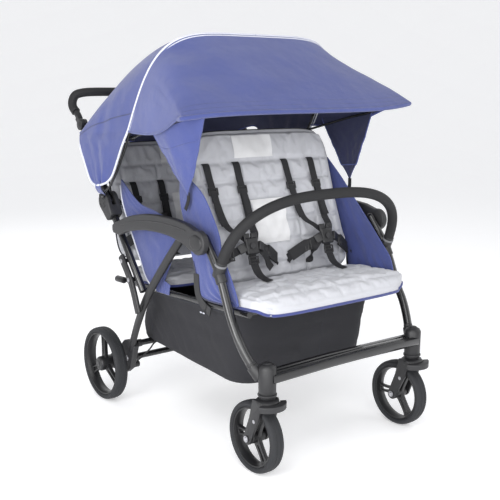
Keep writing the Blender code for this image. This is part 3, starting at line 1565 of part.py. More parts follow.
for side in (-1, 1):
    front_corner(side)
    front_side(side)
    rear_side(side)
    push_side(side)
    side_panel(side)
footrest()
bumper_bar()
rear_axle_parts()
seat_frame()
back_frames()
part("front_seat_pad", pad_cushion(FRONT_PAD_START, FRONT_BACK_FOOT[0] - 0.006, 4), GREY)
part("rear_seat_pad", pad_cushion(REAR_PAD_START, REAR_BACK_FOOT[0] - 0.028, 4), GREY)
part("front_backrest", back_cushion(FRONT_BACK_FOOT, FRONT_BACK_HEIGHT, 6), GREY)
part("rear_backrest", back_cushion(REAR_BACK_FOOT, REAR_BACK_HEIGHT, 5), GREY)
for side in (-1, 1):
    harness("front", side, FRONT_BACK_FOOT)
    harness("rear", side, REAR_BACK_FOOT)
basket()
handle()
canopy()
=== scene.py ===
"""The looks of the quadruple stroller: painted tubes, plastic, rubber, quilted seats and canvas.

Lengths are metres. Places along Y are written from the front axle, as in the solids, and at() moves
them to the middle of the stroller. The front looks along -Y and the left side is at -X.
"""

import json
import math

import bmesh
import bpy
from mathutils import Matrix, Vector, noise
from mathutils.bvhtree import BVHTree

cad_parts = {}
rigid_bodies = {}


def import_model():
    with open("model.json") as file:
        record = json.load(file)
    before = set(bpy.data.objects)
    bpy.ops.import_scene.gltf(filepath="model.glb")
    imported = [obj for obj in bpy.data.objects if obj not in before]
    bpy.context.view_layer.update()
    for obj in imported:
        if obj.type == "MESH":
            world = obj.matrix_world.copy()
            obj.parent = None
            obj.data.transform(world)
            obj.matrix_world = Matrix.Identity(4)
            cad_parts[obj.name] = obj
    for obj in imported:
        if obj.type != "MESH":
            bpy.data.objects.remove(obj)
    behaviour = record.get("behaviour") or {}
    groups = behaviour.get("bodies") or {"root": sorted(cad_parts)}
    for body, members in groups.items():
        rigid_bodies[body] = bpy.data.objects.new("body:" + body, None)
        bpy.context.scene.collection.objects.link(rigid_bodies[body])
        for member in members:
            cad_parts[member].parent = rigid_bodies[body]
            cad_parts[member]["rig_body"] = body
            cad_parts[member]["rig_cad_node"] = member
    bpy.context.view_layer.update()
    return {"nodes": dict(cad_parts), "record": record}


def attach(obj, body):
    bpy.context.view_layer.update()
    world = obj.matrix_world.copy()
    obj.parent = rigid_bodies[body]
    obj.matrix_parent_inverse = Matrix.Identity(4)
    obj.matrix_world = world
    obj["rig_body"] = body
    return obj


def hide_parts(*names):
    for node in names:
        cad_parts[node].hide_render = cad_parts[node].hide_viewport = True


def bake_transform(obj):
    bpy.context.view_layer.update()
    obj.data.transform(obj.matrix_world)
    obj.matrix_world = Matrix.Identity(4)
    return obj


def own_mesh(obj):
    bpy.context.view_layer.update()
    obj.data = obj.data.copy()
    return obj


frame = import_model()
nodes = frame["nodes"]
scene = bpy.context.scene

# The middle of the stroller's base, measured back from the front axle
MIDDLE = 0.42975

# Wheels and casters
FRONT_AXLE = (0.2787, 0.0, 0.100)
REAR_AXLE = (0.3433, 0.7423, 0.1211)
CASTER_TRAIL = 0.048
FRONT_WHEEL_RADIUS = 0.100
REAR_WHEEL_RADIUS = 0.1211
FRONT_WHEEL_WIDTH = 0.0426
REAR_WHEEL_WIDTH = 0.0443
FRONT_HUB = 0.017
REAR_HUB = 0.024

# Tubes
MAIN_TUBE = 0.0115
FRONT_TUBE = 0.0125
RAIL_TUBE = 0.009
CROSS_TUBE = 0.010
REAR_BAR_TUBE = 0.0072
LEG_WIDE = 0.0175
LEG_DEEP = 0.026
STRUT_WIDE = 0.013
STRUT_DEEP = 0.027

# The play that the solids keep between pieces, and the smallest step that counts as one point
GAP = 0.0003
SAME_POINT = 0.00002

# Side planes, from the middle of the stroller
PUSH_TUBE_X = 0.325
FRONT_LEG_X = 0.3175
REAR_LEG_X = 0.3210
RAIL_X = 0.285
RAIL_BACK = 0.700
BUMPER_X = 0.3185
BRACKET_X = 0.306
CANOPY_SIDE_X = 0.3516

# Pivots and joints on a side, as (y, z)
LEG_PIVOT = (0.172, 0.612)
REAR_PIVOT = (0.292, 0.606)
LOWER_RIVET = (0.497, 0.396)
FOLD_HUB = (0.715, 0.668)
KNUCKLE = (0.884, 0.904)
CANOPY_PIVOT = (0.700, 0.690)
AXLE_BAR = (0.640, 0.158)
UPPER_BAR = (0.610, 0.212)
BUMPER_FOOT = (0.113, 0.535)

# The bumper bar: how far it leans forward, and its height along that lean
BUMPER_TILT = math.radians(66.4)
BUMPER_RISE = Vector((0.0, -math.cos(BUMPER_TILT), math.sin(BUMPER_TILT)))
BUMPER_TALL = 0.217

# How far up the push tube from the lower rivet the strut's two rivets lie
STRUT_RIVETS = (("upper", 0.138), ("lower", 0.070))

# Webbing
STRAP_WIDE = 0.0235
STRAP_THICK = 0.0018

# Seats
PAD_HALF_WIDTH = 0.286
BACK_HALF_WIDTH = 0.272
BACK_ANGLE = math.radians(73)
LEAN = Vector((0.0, math.cos(BACK_ANGLE), math.sin(BACK_ANGLE)))
INWARD = Vector((0.0, LEAN.z, -LEAN.y))
RIGHT = Vector((1.0, 0.0, 0.0))
FRONT_BACK = (0.222, 0.480, 0.430)
REAR_BACK = (0.712, 0.480, 0.372)
SEAT_SPACING = 0.145
PAD_THICKNESS = 0.046
BACK_THICKNESS = 0.034


def at(x, y, z):
    """A place in the solids' frame, from one measured from the front axle."""
    return Vector((x, y - MIDDLE, z))


def rail_height(y):
    """The height of a seat rail's middle line: it falls slightly towards the back."""
    return 0.432 - 0.045 * (y - 0.05)


def ease(value, start, end):
    """0 before start, 1 after end and a smooth climb between."""
    share = min(max((value - start) / (end - start), 0.0), 1.0)
    return share * share * (3 - 2 * share)


def spline(knots, steps):
    """Points on one smooth curve through the given ones."""
    line = [Vector(knot) for knot in knots]
    line = [2 * line[0] - line[1]] + line + [2 * line[-1] - line[-2]]
    made = []
    for k in range(1, len(line) - 2):
        before, here, there, after = line[k - 1 : k + 3]
        for step in range(steps):
            t = step / steps
            bend = (2 * before - 5 * here + 4 * there - after) * t**2
            twist = (3 * here - before - 3 * there + after) * t**3
            made.append(0.5 * (2 * here + (there - before) * t + bend + twist))
    made.append(line[-2])
    return made


def bent(corners, radius, steps=8):
    """A path through the corners, each rounded with an arc of about the radius."""
    knots = [Vector(corner) for corner in corners]
    made = [knots[0]]
    for before, here, after in zip(knots, knots[1:], knots[2:]):
        into = (before - here).normalized()
        out = (after - here).normalized()
        reach = min(radius, (before - here).length * 0.45, (after - here).length * 0.45)
        for step in range(steps + 1):
            t = step / steps
            made.append(here + into * reach * (1 - t) ** 2 + out * reach * t**2)
    made.append(knots[-1])
    return made


def pick(line, share):
    """The place at a share from 0 to 1 along a line of points."""
    place = share * (len(line) - 1)
    index = min(int(place), len(line) - 2)
    return line[index].lerp(line[index + 1], place - index)


def along(start, end, distance):
    """The (y, z) place at a distance from start towards end."""
    first = Vector(start)
    return first + (Vector(end) - first).normalized() * distance


# Finishes


def paint(red, green, blue):
    """A colour as it is written for a screen, from 0 to 255, made linear."""
    return tuple(
        part / 12.92 if part <= 0.04045 else ((part + 0.055) / 1.055) ** 2.4
        for part in (red / 255, green / 255, blue / 255)
    )


class Signal:
    """One output of a finish's nodes. Sums, products and powers of it add Math nodes."""

    def __init__(self, finish, socket):
        self.finish = finish
        self.socket = socket

    def _math(self, operation, first, second=None):
        values = {0: first} if second is None else {0: first, 1: second}
        return self.finish.node("Math", {"operation": operation}, values)

    def __add__(self, other):
        return self._math("ADD", self, other)

    def __radd__(self, other):
        return self._math("ADD", other, self)

    def __sub__(self, other):
        return self._math("SUBTRACT", self, other)

    def __rsub__(self, other):
        return self._math("SUBTRACT", other, self)

    def __mul__(self, other):
        return self._math("MULTIPLY", self, other)

    def __rmul__(self, other):
        return self._math("MULTIPLY", other, self)

    def __abs__(self):
        return self._math("ABSOLUTE", self)

    def sine(self):
        return self._math("SINE", self)


class Finish:
    """A material whose colour, roughness and relief come from its nodes."""

    def __init__(self, name, roughness=0.5, metallic=0.0, **plain):
        self.material = bpy.data.materials.new(name)
        self.material.use_nodes = True
        self.tree = self.material.node_tree
        self.shader = self.tree.nodes["Principled BSDF"]
        self.shader.inputs["Roughness"].default_value = roughness
        self.shader.inputs["Metallic"].default_value = metallic
        for socket, value in plain.items():
            self.shader.inputs[socket.replace("_", " ")].default_value = value

    def node(self, kind, settings, sockets, output=0):
        """Adds a node: its settings first, then the values or links of its sockets."""
        made = self.tree.nodes.new("ShaderNode" + kind)
        for setting, value in settings.items():
            if setting == "stops":
                for stop, (place, colour) in zip(self._stops(made, len(value)), value):
                    stop.position = place
                    stop.color = (*colour, 1.0)
            else:
                setattr(made, setting, value)
        for socket, value in sockets.items():
            target = made.inputs[socket]
            if isinstance(value, Signal):
                self.tree.links.new(value.socket, target)
            else:
                target.default_value = value
        return Signal(self, made.outputs[output])

    def _stops(self, ramp, count):
        elements = ramp.color_ramp.elements
        while len(elements) < count:
            elements.new(0.5)
        return elements

    def place(self, output="Object"):
        """Where a point lies: on the stroller for Object, on the cloth for UV."""
        return self.node("TexCoord", {}, {}, output)

    def parts(self, vector):
        """The X, Y and Z of a vector."""
        split = self.node("SeparateXYZ", {}, {0: vector})
        return split, Signal(self, split.socket.node.outputs[1]), Signal(
            self, split.socket.node.outputs[2]
        )

    def grain(self, vector, scale, detail=2.0, rough=0.5):
        return self.node(
            "TexNoise", {}, {"Vector": vector, "Scale": scale, "Detail": detail, "Roughness": rough}
        )

    def between(self, factor, first, second):
        """A colour mixed from two by a factor."""
        settings = {"data_type": "RGBA"}
        first = first if isinstance(first, Signal) else (*first, 1.0)
        second = second if isinstance(second, Signal) else (*second, 1.0)
        return self.node("Mix", settings, {0: factor, 6: first, 7: second}, 2)

    def colour(self, value):
        if isinstance(value, Signal):
            self.tree.links.new(value.socket, self.shader.inputs["Base Color"])
        else:
            self.shader.inputs["Base Color"].default_value = (*value, 1.0)

    def roughness(self, value):
        self.tree.links.new(value.socket, self.shader.inputs["Roughness"])

    def relief(self, height, depth, strength=1.0):
        """Raises the surface by a height from 0 to 1, times a depth in metres."""
        bump = self.node("Bump", {}, {"Height": height, "Distance": depth, "Strength": strength})
        self.tree.links.new(bump.socket, self.shader.inputs["Normal"])


def smooth_finish(name, colour, roughness, speckle, depth, scale, **plain):
    """Paint or moulded plastic: one colour with a fine grain and faint uneven wear."""
    made = Finish(name, roughness, **plain)
    place = made.place()
    wear = made.grain(place, 14.0, 4.0, 0.6)
    fine = made.grain(place, scale, 2.0)
    lighter = tuple(min(1.0, part * 1.45 + 0.004) for part in colour)
    made.colour(made.between((wear - 0.35) * 0.9, colour, lighter))
    made.roughness(roughness + (wear - 0.5) * speckle)
    made.relief(fine, depth)
    return made


def woven_finish(name, colour, lighter, pitch, depth, fade=0.5, crease=0.0, **plain):
    """Cloth with its weave on the piece's own UV map, in metres."""
    made = Finish(name, 0.85, **plain)
    place = made.place("UV")
    across, down, _ = made.parts(place)
    turn = 2 * math.pi / pitch
    weave = (across * turn).sine() * (down * turn).sine()
    cloud = made.grain(made.place(), 9.0, 4.0, 0.55)
    threads = made.grain(place, 2.2 / pitch, 2.0)
    tone = (cloud - 0.4) * fade + weave * 0.10 + (threads - 0.5) * 0.35
    made.colour(made.between(tone + 0.35, colour, lighter))
    made.roughness(0.80 + cloud * 0.16)
    height = weave * 0.25 + threads * 0.5
    if crease:
        folds = made.grain(made.place(), 26.0, 3.0, 0.5)
        height = height + folds * (crease / depth)
    made.relief(height, depth)
    return made


GLOSS_BLACK = smooth_finish(
    "gloss_black_paint", paint(15, 15, 17), 0.24, 0.14, 0.00004, 700.0,
    Coat_Weight=0.5, Coat_Roughness=0.12,
)
SATIN_BLACK = smooth_finish("satin_black_plastic", paint(27, 27, 29), 0.42, 0.16, 0.00008, 900.0)
DARK_PLASTIC = smooth_finish("grained_black_plastic", paint(38, 38, 40), 0.50, 0.18, 0.00018, 620.0)
RIM_PLASTIC = smooth_finish("rim_black_plastic", paint(22, 22, 24), 0.36, 0.14, 0.00006, 800.0)
SILVER_PLASTIC = smooth_finish(
    "silver_grey_plastic", paint(104, 105, 108), 0.34, 0.12, 0.00005, 800.0
)
STEEL = smooth_finish("zinc_steel", paint(178, 178, 182), 0.30, 0.18, 0.00005, 500.0, metallic=0.9)
LABEL = smooth_finish("pale_care_label", paint(208, 208, 209), 0.62, 0.12, 0.00006, 500.0)
NIGHT = smooth_finish("soft_black_cord", paint(14, 14, 16), 0.62, 0.18, 0.0002, 1200.0)


def foam_finish():
    """Closed-cell foam: fine pores over slow dents."""
    made = Finish("black_foam", 0.78)
    place = made.place()
    pores = made.node("TexVoronoi", {}, {"Vector": place, "Scale": 560.0})
    cloud = made.grain(place, 30.0, 3.0)
    made.colour(made.between((cloud - 0.3) * 0.8, paint(17, 17, 19), paint(34, 34, 37)))
    made.roughness(0.66 + cloud * 0.2)
    made.relief((1 - pores) * 0.6 + cloud * 1.5, 0.0005)
    return made


def rubber_finish():
    """Tyre rubber: a dry, dusty sheen and a fine moulded grain."""
    made = Finish("tyre_rubber", 0.72)
    place = made.place()
    dust = made.grain(place, 22.0, 5.0, 0.6)
    fine = made.grain(place, 900.0, 2.0)
    made.colour(made.between((dust - 0.3) * 0.9, paint(26, 27, 30), paint(44, 46, 51)))
    made.roughness(0.60 + dust * 0.25)
    made.relief(fine + dust, 0.0002)
    return made


FOAM = foam_finish()
RUBBER = rubber_finish()


def canvas_finish(name, colour, lighter):
    """The canopy's canvas: a close plain weave, faint slubs and soft creases."""
    made = Finish(name, 0.82, Sheen_Weight=0.25, Sheen_Roughness=0.5)
    cloth = made.place("UV")
    across, down, _ = made.parts(cloth)
    turn = 2 * math.pi / 0.0016
    weave = (across * turn).sine() * (down * turn).sine()
    drawn = {"Vector": cloth, "Scale": (1.0, 9.0, 1.0)}
    slubs = made.grain(made.node("Mapping", {"vector_type": "POINT"}, drawn), 130.0, 3.0)
    cloud = made.grain(made.place(), 5.0, 4.0, 0.6)
    creases = made.grain(made.place(), 19.0, 3.0, 0.45)
    tone = 0.30 + (cloud - 0.5) * 0.9 + weave * 0.12 + (slubs - 0.5) * 0.5
    made.colour(made.between(tone, colour, lighter))
    made.roughness(0.74 + cloud * 0.2)
    made.relief(weave * 0.10 + slubs * 0.20 + creases * 3.2, 0.0012)
    return made


CANVAS = canvas_finish("blue_canvas", paint(52, 63, 121), paint(70, 82, 143))
# The blue canvas made darker: painted shade on the canopy's inner faces, and the dark colour of
# seams, stitching and the wing elastic.
SHADED_CANVAS = canvas_finish("canvas_in_painted_shade", paint(33, 37, 70), paint(43, 48, 86))
QUILT = woven_finish(
    "grey_quilted_cloth", paint(172, 173, 178), paint(200, 201, 206), 0.0022, 0.0005, 0.5, 0.0016,
    Sheen_Weight=0.2,
)
SEAT_EDGE = woven_finish(
    "blue_seat_edge", paint(46, 54, 112), paint(62, 72, 132), 0.0020, 0.0005, 0.5, 0.0010,
    Sheen_Weight=0.2,
)
PIPING = woven_finish(
    "white_piping", paint(190, 192, 202), paint(220, 222, 230), 0.0016, 0.0003, 0.3
)
BINDING = woven_finish("dark_binding", paint(30, 31, 37), paint(46, 47, 54), 0.0016, 0.0003, 0.3)
MESH_CLOTH = woven_finish(
    "black_bag_cloth", paint(24, 24, 28), paint(45, 45, 50), 0.0024, 0.0006, 0.7, 0.0016
)


def webbing_finish():
    """Woven strap: ribs across it, raised selvedges and a little wear."""
    made = Finish("black_webbing", 0.7)
    cloth = made.place("UV")
    across, down, _ = made.parts(cloth)
    ribs = abs((down * (math.pi / 0.0014)).sine())
    rows = abs((across * (math.pi / 0.0030)).sine())
    cloud = made.grain(made.place(), 40.0, 3.0)
    tone = (cloud - 0.3) * 0.7 + ribs * 0.25 + rows * 0.12
    made.colour(made.between(tone, paint(16, 16, 18), paint(42, 42, 46)))
    made.roughness(0.60 + cloud * 0.2)
    made.relief(ribs * 0.6 + rows * 0.6, 0.0005)
    return made


WEBBING = webbing_finish()


# Making pieces


def clear():
    """Nothing selected, so an operator acts only on what is chosen next."""
    if bpy.context.mode != "OBJECT":
        bpy.ops.object.mode_set(mode="OBJECT")
    bpy.ops.object.select_all(action="DESELECT")


def choose(piece):
    clear()
    piece.select_set(True)
    bpy.context.view_layer.objects.active = piece
    return piece


def linked(name, data):
    made = bpy.data.objects.new(name, data)
    scene.collection.objects.link(made)
    return choose(made)


def opened(piece, together=SAME_POINT):
    """Opens a piece for editing, all selected, with points that lie together merged."""
    choose(piece)
    bpy.ops.object.mode_set(mode="EDIT")
    bpy.ops.mesh.select_all(action="SELECT")
    bpy.ops.mesh.remove_doubles(threshold=together)


def as_mesh(piece):
    """A curve made a mesh, with its place taken into its points."""
    choose(piece)
    bpy.ops.object.convert(target="MESH")
    bpy.ops.object.transform_apply(location=True, rotation=True, scale=True)
    return piece


def applied(piece):
    """Every modifier applied in turn."""
    choose(piece)
    for modifier in list(piece.modifiers):
        bpy.ops.object.modifier_apply(modifier=modifier.name)
    return piece


def finished(piece, name, finishes, body, stands_for=(), angle=38.0):
    """Names a piece, gives it its finish and the body it rides on."""
    applied(piece)
    bpy.ops.object.transform_apply(location=True, rotation=True, scale=True)
    bpy.ops.object.shade_smooth_by_angle(angle=math.radians(angle))
    piece.name = name
    piece.data.name = name
    finishes = finishes if isinstance(finishes, (list, tuple)) else [finishes]
    places = [face.material_index for face in piece.data.polygons] if len(finishes) > 1 else None
    piece.data.materials.clear()
    for finish in finishes:
        piece.data.materials.append(finish.material)
    if places:
        piece.data.polygons.foreach_set("material_index", places)
    if body:
        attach(piece, body)
    if stands_for:
        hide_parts(*stands_for)
    return piece


def dressed(piece, node, finish, angle=38.0):
    """A finished piece that stands for its solid."""
    return finished(piece, node + "_dressed", finish, body_of[node], [node], angle)


def as_one(pieces):
    """Several pieces joined into the first."""
    clear()
    for piece in pieces:
        piece.select_set(True)
    bpy.context.view_layer.objects.active = pieces[0]
    bpy.ops.object.join()
    return pieces[0]


def path_curve(points, closed=False, level=False):
    data = bpy.data.curves.new("path", "CURVE")
    data.dimensions = "3D"
    data.twist_mode = "Z_UP" if level else "MINIMUM"
    line = data.splines.new("POLY")
    line.points.add(len(points) - 1)
    for slot, point in zip(line.points, points):
        slot.co = (*point, 1.0)
    line.use_cyclic_u = closed
    return data


def tube(points, radius, closed=False, fineness=6):
    """A round bar along the points, with closed ends."""
    data = path_curve(points, closed)
    data.bevel_depth = radius
    data.bevel_resolution = fineness
    data.use_fill_caps = not closed
    return as_mesh(linked("tube", data))


def trim(points, radius, fineness, name, finish, body, closed=False):
    """A thin round edge along the points: piping, a hem, a binding or a seam."""
    return finished(tube(points, radius, closed, fineness), name, finish, body, (), 60)


def bar(points, wide, deep, corner=1.0, steps=8):
    """A flat-oval bar, wide across X and deep up and down; corner 1 makes its ends round."""
    radius = min(wide, deep) / 2 * corner
    outline = []
    for a, b, start in ((1, 1, 0), (-1, 1, 90), (-1, -1, 180), (1, -1, 270)):
        for k in range(steps + 1):
            turn = math.radians(start + 90 * k / steps)
            outline.append(
                (
                    a * (wide / 2 - radius) + radius * math.cos(turn),
                    b * (deep / 2 - radius) + radius * math.sin(turn),
                )
            )
    section = path_curve([(u, v, 0.0) for u, v in outline], True)
    section.dimensions = "2D"
    guide = linked("section", section)
    data = path_curve(points, level=True)
    data.bevel_mode = "OBJECT"
    data.bevel_object = guide
    data.use_fill_caps = True
    made = as_mesh(linked("bar", data))
    bpy.data.objects.remove(guide, do_unlink=True)
    return made


def rounded(piece, edge, sharp):
    """Rounds a piece's edges where its faces turn by more than an angle in degrees."""
    rounding = piece.modifiers.new("rounding", "BEVEL")
    rounding.width = edge
    rounding.segments = 2
    rounding.limit_method = "ANGLE"
    rounding.angle_limit = math.radians(sharp)
    return applied(piece)


def mirrored(left):
    """A line across the stroller, from its left half."""
    return left + [(-x, y, z) for x, y, z in reversed(left)]


def rod(start, end, radius, edge=0.0, steps=32):
    """A turned pin from start to end, its rims rounded."""
    start = Vector(start)
    line = Vector(end) - start
    clear()
    bpy.ops.mesh.primitive_cylinder_add(
        vertices=steps, radius=radius, depth=line.length, location=start + line / 2
    )
    made = bpy.context.object
    made.rotation_mode = "QUATERNION"
    made.rotation_quaternion = line.to_track_quat("Z", "Y")
    if edge:
        rounded(made, edge, 60)
    bpy.ops.object.transform_apply(location=True, rotation=True, scale=True)
    return made


def turned(profile, centre, steps=96, axis="X"):
    """A shape turned about an axis: the profile's (radius, height) pairs, spun right round."""
    clear()
    bpy.ops.mesh.primitive_plane_add(size=1.0, location=(0, 0, 0))
    made = bpy.context.object
    bpy.ops.object.mode_set(mode="EDIT")
    bpy.ops.mesh.delete(type="VERT")
    bm = bmesh.from_edit_mesh(made.data)
    corners = [bm.verts.new((radius, 0.0, height)) for radius, height in profile]
    for first, second in zip(corners, corners[1:]):
        bm.edges.new((first, second))
    if profile[0][0] > 0 and profile[-1][0] > 0:
        bm.edges.new((corners[-1], corners[0]))
    bmesh.update_edit_mesh(made.data)
    bpy.ops.mesh.select_all(action="SELECT")
    bpy.ops.mesh.spin(steps=steps, angle=2 * math.pi, center=(0, 0, 0), axis=(0, 0, 1))
    bpy.ops.mesh.select_all(action="SELECT")
    bpy.ops.mesh.remove_doubles(threshold=SAME_POINT)
    bpy.ops.mesh.normals_make_consistent(inside=False)
    bpy.ops.object.mode_set(mode="OBJECT")
    if axis == "X":
        made.rotation_euler = (0.0, math.pi / 2, 0.0)
    made.location = centre
    bpy.ops.object.transform_apply(location=True, rotation=True, scale=True)
    return made


def refined(node, finish, edge=0.0009, extra=()):
    """A solid's own shape, its facets joined and its edges rounded, with any extra pieces."""
    clear()
    made = nodes[node].copy()
    made.data = nodes[node].data.copy()
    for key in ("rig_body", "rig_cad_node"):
        if key in made:
            del made[key]
    made.parent = None
    scene.collection.objects.link(made)
    opened(made)
    bpy.ops.mesh.dissolve_limited(angle_limit=math.radians(2))
    bpy.ops.object.mode_set(mode="OBJECT")
    if edge:
        rounded(made, edge, 42)
    if extra:
        as_one([made, *extra])
    return dressed(made, node, finish, 44.0)


body_of = {}
for owner, members in frame["record"]["behaviour"]["bodies"].items():
    for member in members:
        body_of[member] = owner


def plate(outline, inner, outer, edge=0.0, holes=(), fineness=2):
    """A flat moulding across X with rounded rims: its (y, z) outline, from x inner to x outer."""
    data = bpy.data.curves.new("plate", "CURVE")
    data.dimensions = "2D"
    data.fill_mode = "BOTH"
    for loop in (outline, *holes):
        line = data.splines.new("POLY")
        line.points.add(len(loop) - 1)
        for slot, (back, up) in zip(line.points, loop):
            slot.co = (back, up, 0.0, 1.0)
        line.use_cyclic_u = True
    data.extrude = abs(outer - inner) / 2 - edge
    data.bevel_depth = edge
    data.bevel_resolution = fineness
    data.offset = -edge
    made = linked("plate", data)
    upright = Matrix(((0, 0, 1, 0), (1, 0, 0, -MIDDLE), (0, 1, 0, 0), (0, 0, 0, 1)))
    made.matrix_world = Matrix.Translation(((inner + outer) / 2, 0.0, 0.0)) @ upright
    opened(as_mesh(made))
    bpy.ops.mesh.normals_make_consistent(inside=False)
    bpy.ops.object.mode_set(mode="OBJECT")
    return made


def arc(centre, radius, start, end, steps):
    """(y, z) points on an arc, with angles in degrees."""
    turns = [math.radians(start + (end - start) * k / steps) for k in range(steps + 1)]
    return [(centre[0] + radius * math.cos(t), centre[1] + radius * math.sin(t)) for t in turns]


def flat_spline(points, steps):
    return [(p.x, p.y) for p in spline([(u, v, 0.0) for u, v in points], steps)]


def side_name(side):
    return "l" if side < 0 else "r"


# Wheels


def wheel(label, side, axle, radius, width, hub_radius, hub, first_spoke):
    """A tyre on a rim of three slotted spokes, with a lipped ring and a domed hub."""
    name = side_name(side)
    centre = at(side * axle[0], axle[1], axle[2])
    inner = radius - 0.017
    half = [
        (inner, 0.360), (inner + 0.0015, 0.430), (inner + 0.0040, 0.478), (inner + 0.0052, 0.468),
        (inner + 0.0064, 0.490), (inner + 0.0092, 0.500), (radius - 0.0050, 0.462),
        (radius - 0.0025, 0.395), (radius - 0.0008, 0.290), (radius - 0.0001, 0.170),
        (radius - 0.0009, 0.155), (radius - 0.0009, 0.125), (radius, 0.110),
    ]

    def both_halves(profile):
        return [(r, w * width) for r, w in profile] + [(r, -w * width) for r, w in profile[::-1]]

    dressed(turned(both_halves(half), centre), f"{label}_tyre_{name}", RUBBER, 50)
    seat = inner - GAP
    half = [
        (seat, 0.37), (seat - 0.0012, 0.385), (seat - 0.0040, 0.375),
        (seat - 0.0050, 0.30), (seat - 0.0085, 0.10),
    ]
    rim = [turned(both_halves(half), centre)]
    low, high = hub
    dome = [
        (0.0, high), (hub_radius * 0.42, high - 0.0004), (hub_radius * 0.50, high - 0.0016),
        (hub_radius * 0.56, high - 0.0008), (hub_radius * 0.80, high - 0.0012),
        (hub_radius * 0.93, high - 0.0034), (hub_radius, high - 0.0075), (hub_radius, low + 0.004),
        (hub_radius * 0.8, low), (0.0, low),
    ]
    rim.append(turned(facing(dome, side), centre, 48))
    tip = seat - 0.004
    near = hub_radius + 0.006
    for k in range(3):
        turn = math.radians(first_spoke + 120 * k)
        ahead = Vector((math.cos(turn), math.sin(turn)))
        across = Vector((-ahead.y, ahead.x))

        def spot(reach, offset):
            place = Vector(axle[1:]) + ahead * reach + across * offset
            return (place.x, place.y)

        outer = [
            (hub_radius * 0.6, 0.0135), (near, 0.0115), ((near + tip) / 2, 0.0105),
            (tip - 0.010, 0.0125), (tip, 0.0185),
        ]
        loop = [spot(r, w) for r, w in flat_spline(outer, 4)]
        loop += [spot(r, -w) for r, w in reversed(flat_spline(outer, 4))]
        slot = [
            (near + 0.001, 0.0), (near + 0.004, 0.0030), ((near + tip) / 2, 0.0040),
            (tip - 0.013, 0.0052), (tip - 0.008, 0.0),
        ]
        hole = [spot(r, w) for r, w in flat_spline(slot, 4)]
        hole += [spot(r, -w) for r, w in reversed(flat_spline(slot, 4)[1:-1])]
        rim.append(plate(loop, centre.x - 0.0065, centre.x + 0.0065, 0.0016, [hole]))
    rim = as_one(rim)
    dressed(rim, f"{label}_rim_{name}", RIM_PLASTIC, 34)


def facing(profile, side):
    """A turned profile, flipped so that it faces out on its side."""
    return profile if side > 0 else [(radius, -height) for radius, height in reversed(profile)]


def bolt_head(centre, side, radius, reach, finish, name, body):
    """A domed bolt head with a turned washer, facing out along X."""
    profile = [
        (0.0, reach), (radius * 0.45, reach * 0.94), (radius * 0.66, reach * 0.70),
        (radius * 0.70, reach * 0.30), (radius, reach * 0.24), (radius, -0.0010), (0.0, -0.0010),
    ]
    return finished(turned(facing(profile, side), centre, 32), name, finish, body, (), 30)


def caster(side):
    """Front wheel, fork, foot lever and housing on one side."""
    name = side_name(side)
    arm = FRONT_WHEEL_WIDTH / 2 + 0.003
    hub_half = arm - 0.0008
    size = (FRONT_WHEEL_RADIUS, FRONT_WHEEL_WIDTH, FRONT_HUB)
    wheel("front", side, FRONT_AXLE, *size, (-hub_half, hub_half), -5)
    fork = f"caster_fork_{name}"
    refined(fork, SATIN_BLACK, 0.0012)
    middle = side * FRONT_AXLE[0]
    for way in (-1, 1):
        outer = middle + way * (arm + 0.007)
        side_word = "inboard" if way == -side else "outboard"
        bolt_head(
            at(outer + way * 0.0035, 0.0, 0.100),
            way,
            0.0088, 0.0042,
            STEEL,
            f"axle_bolt_{side_word}_{name}",
            body_of[fork],
        )
        bolt_head(
            at(outer, -0.030, 0.158),
            way,
            0.0052, 0.0026,
            STEEL,
            f"fork_bolt_{side_word}_{name}",
            body_of[fork],
        )
    refined(f"swivel_lock_{name}", DARK_PLASTIC, 0.0012)
    lip = [(0.0251, 0.2360), (0.0258, 0.2352), (0.0258, 0.2312), (0.0251, 0.2304)]
    ring = turned(lip, at(middle, -CASTER_TRAIL, 0.0), 64, "Z")
    cap = turned(
        [
            (0.0, 0.3216), (0.0060, 0.3214), (0.0105, 0.3202), (0.0120, 0.3186), (0.0120, 0.3150),
            (0.0, 0.3150),
        ],
        at(middle, -CASTER_TRAIL, 0.0),
        48,
        "Z",
    )
    refined(f"caster_housing_{name}", SATIN_BLACK, 0.0010, [ring, cap])


# Tubes and side frames


def front_leg(side):
    name = side_name(side)
    knots = [
        (FRONT_LEG_X, LEG_PIVOT[0] + 0.010, LEG_PIVOT[1] + 0.010), (FRONT_LEG_X, *LEG_PIVOT),
        (FRONT_LEG_X + 0.001, 0.110, 0.532), (FRONT_LEG_X + 0.001, 0.0620, 0.430),
        (FRONT_LEG_X, 0.0325, 0.380), (0.3115, 0.0106, 0.340), (0.2995, -0.0118, 0.302),
        (0.2900, -0.0270, 0.280),
    ]
    path = [at(side * a, b, c) for a, b, c in spline(knots, 10)]
    node = f"front_leg_{name}"
    leg = tube(path, FRONT_TUBE, fineness=10)
    low = at(side * (FRONT_LEG_X + 0.001), 0.110, 0.532)
    sleeve = rod(low + Vector((0, 0.006, 0.010)), low - Vector((0, 0.012, 0.022)), 0.0155, 0.0012)
    seat = at(side * BUMPER_X, *BUMPER_FOOT)
    socket = rod(seat - BUMPER_RISE * 0.010, seat + BUMPER_RISE * 0.0235, 0.0163, 0.0012)
    dressed(leg, node, GLOSS_BLACK, 60)
    finished(as_one([socket, sleeve]), f"bumper_socket_{name}", SATIN_BLACK, body_of[node])
    collar = rod(seat + BUMPER_RISE * 0.0235, seat + BUMPER_RISE * 0.0298, 0.0169, 0.0008, 48)
    finished(collar, f"bumper_collar_{name}", SILVER_PLASTIC, body_of[node])
    edge_band = rod(path[-14], path[-12], FRONT_TUBE + 0.0008, 0.0006, 40)
    finished(edge_band, f"leg_band_{name}", SATIN_BLACK, body_of[node])


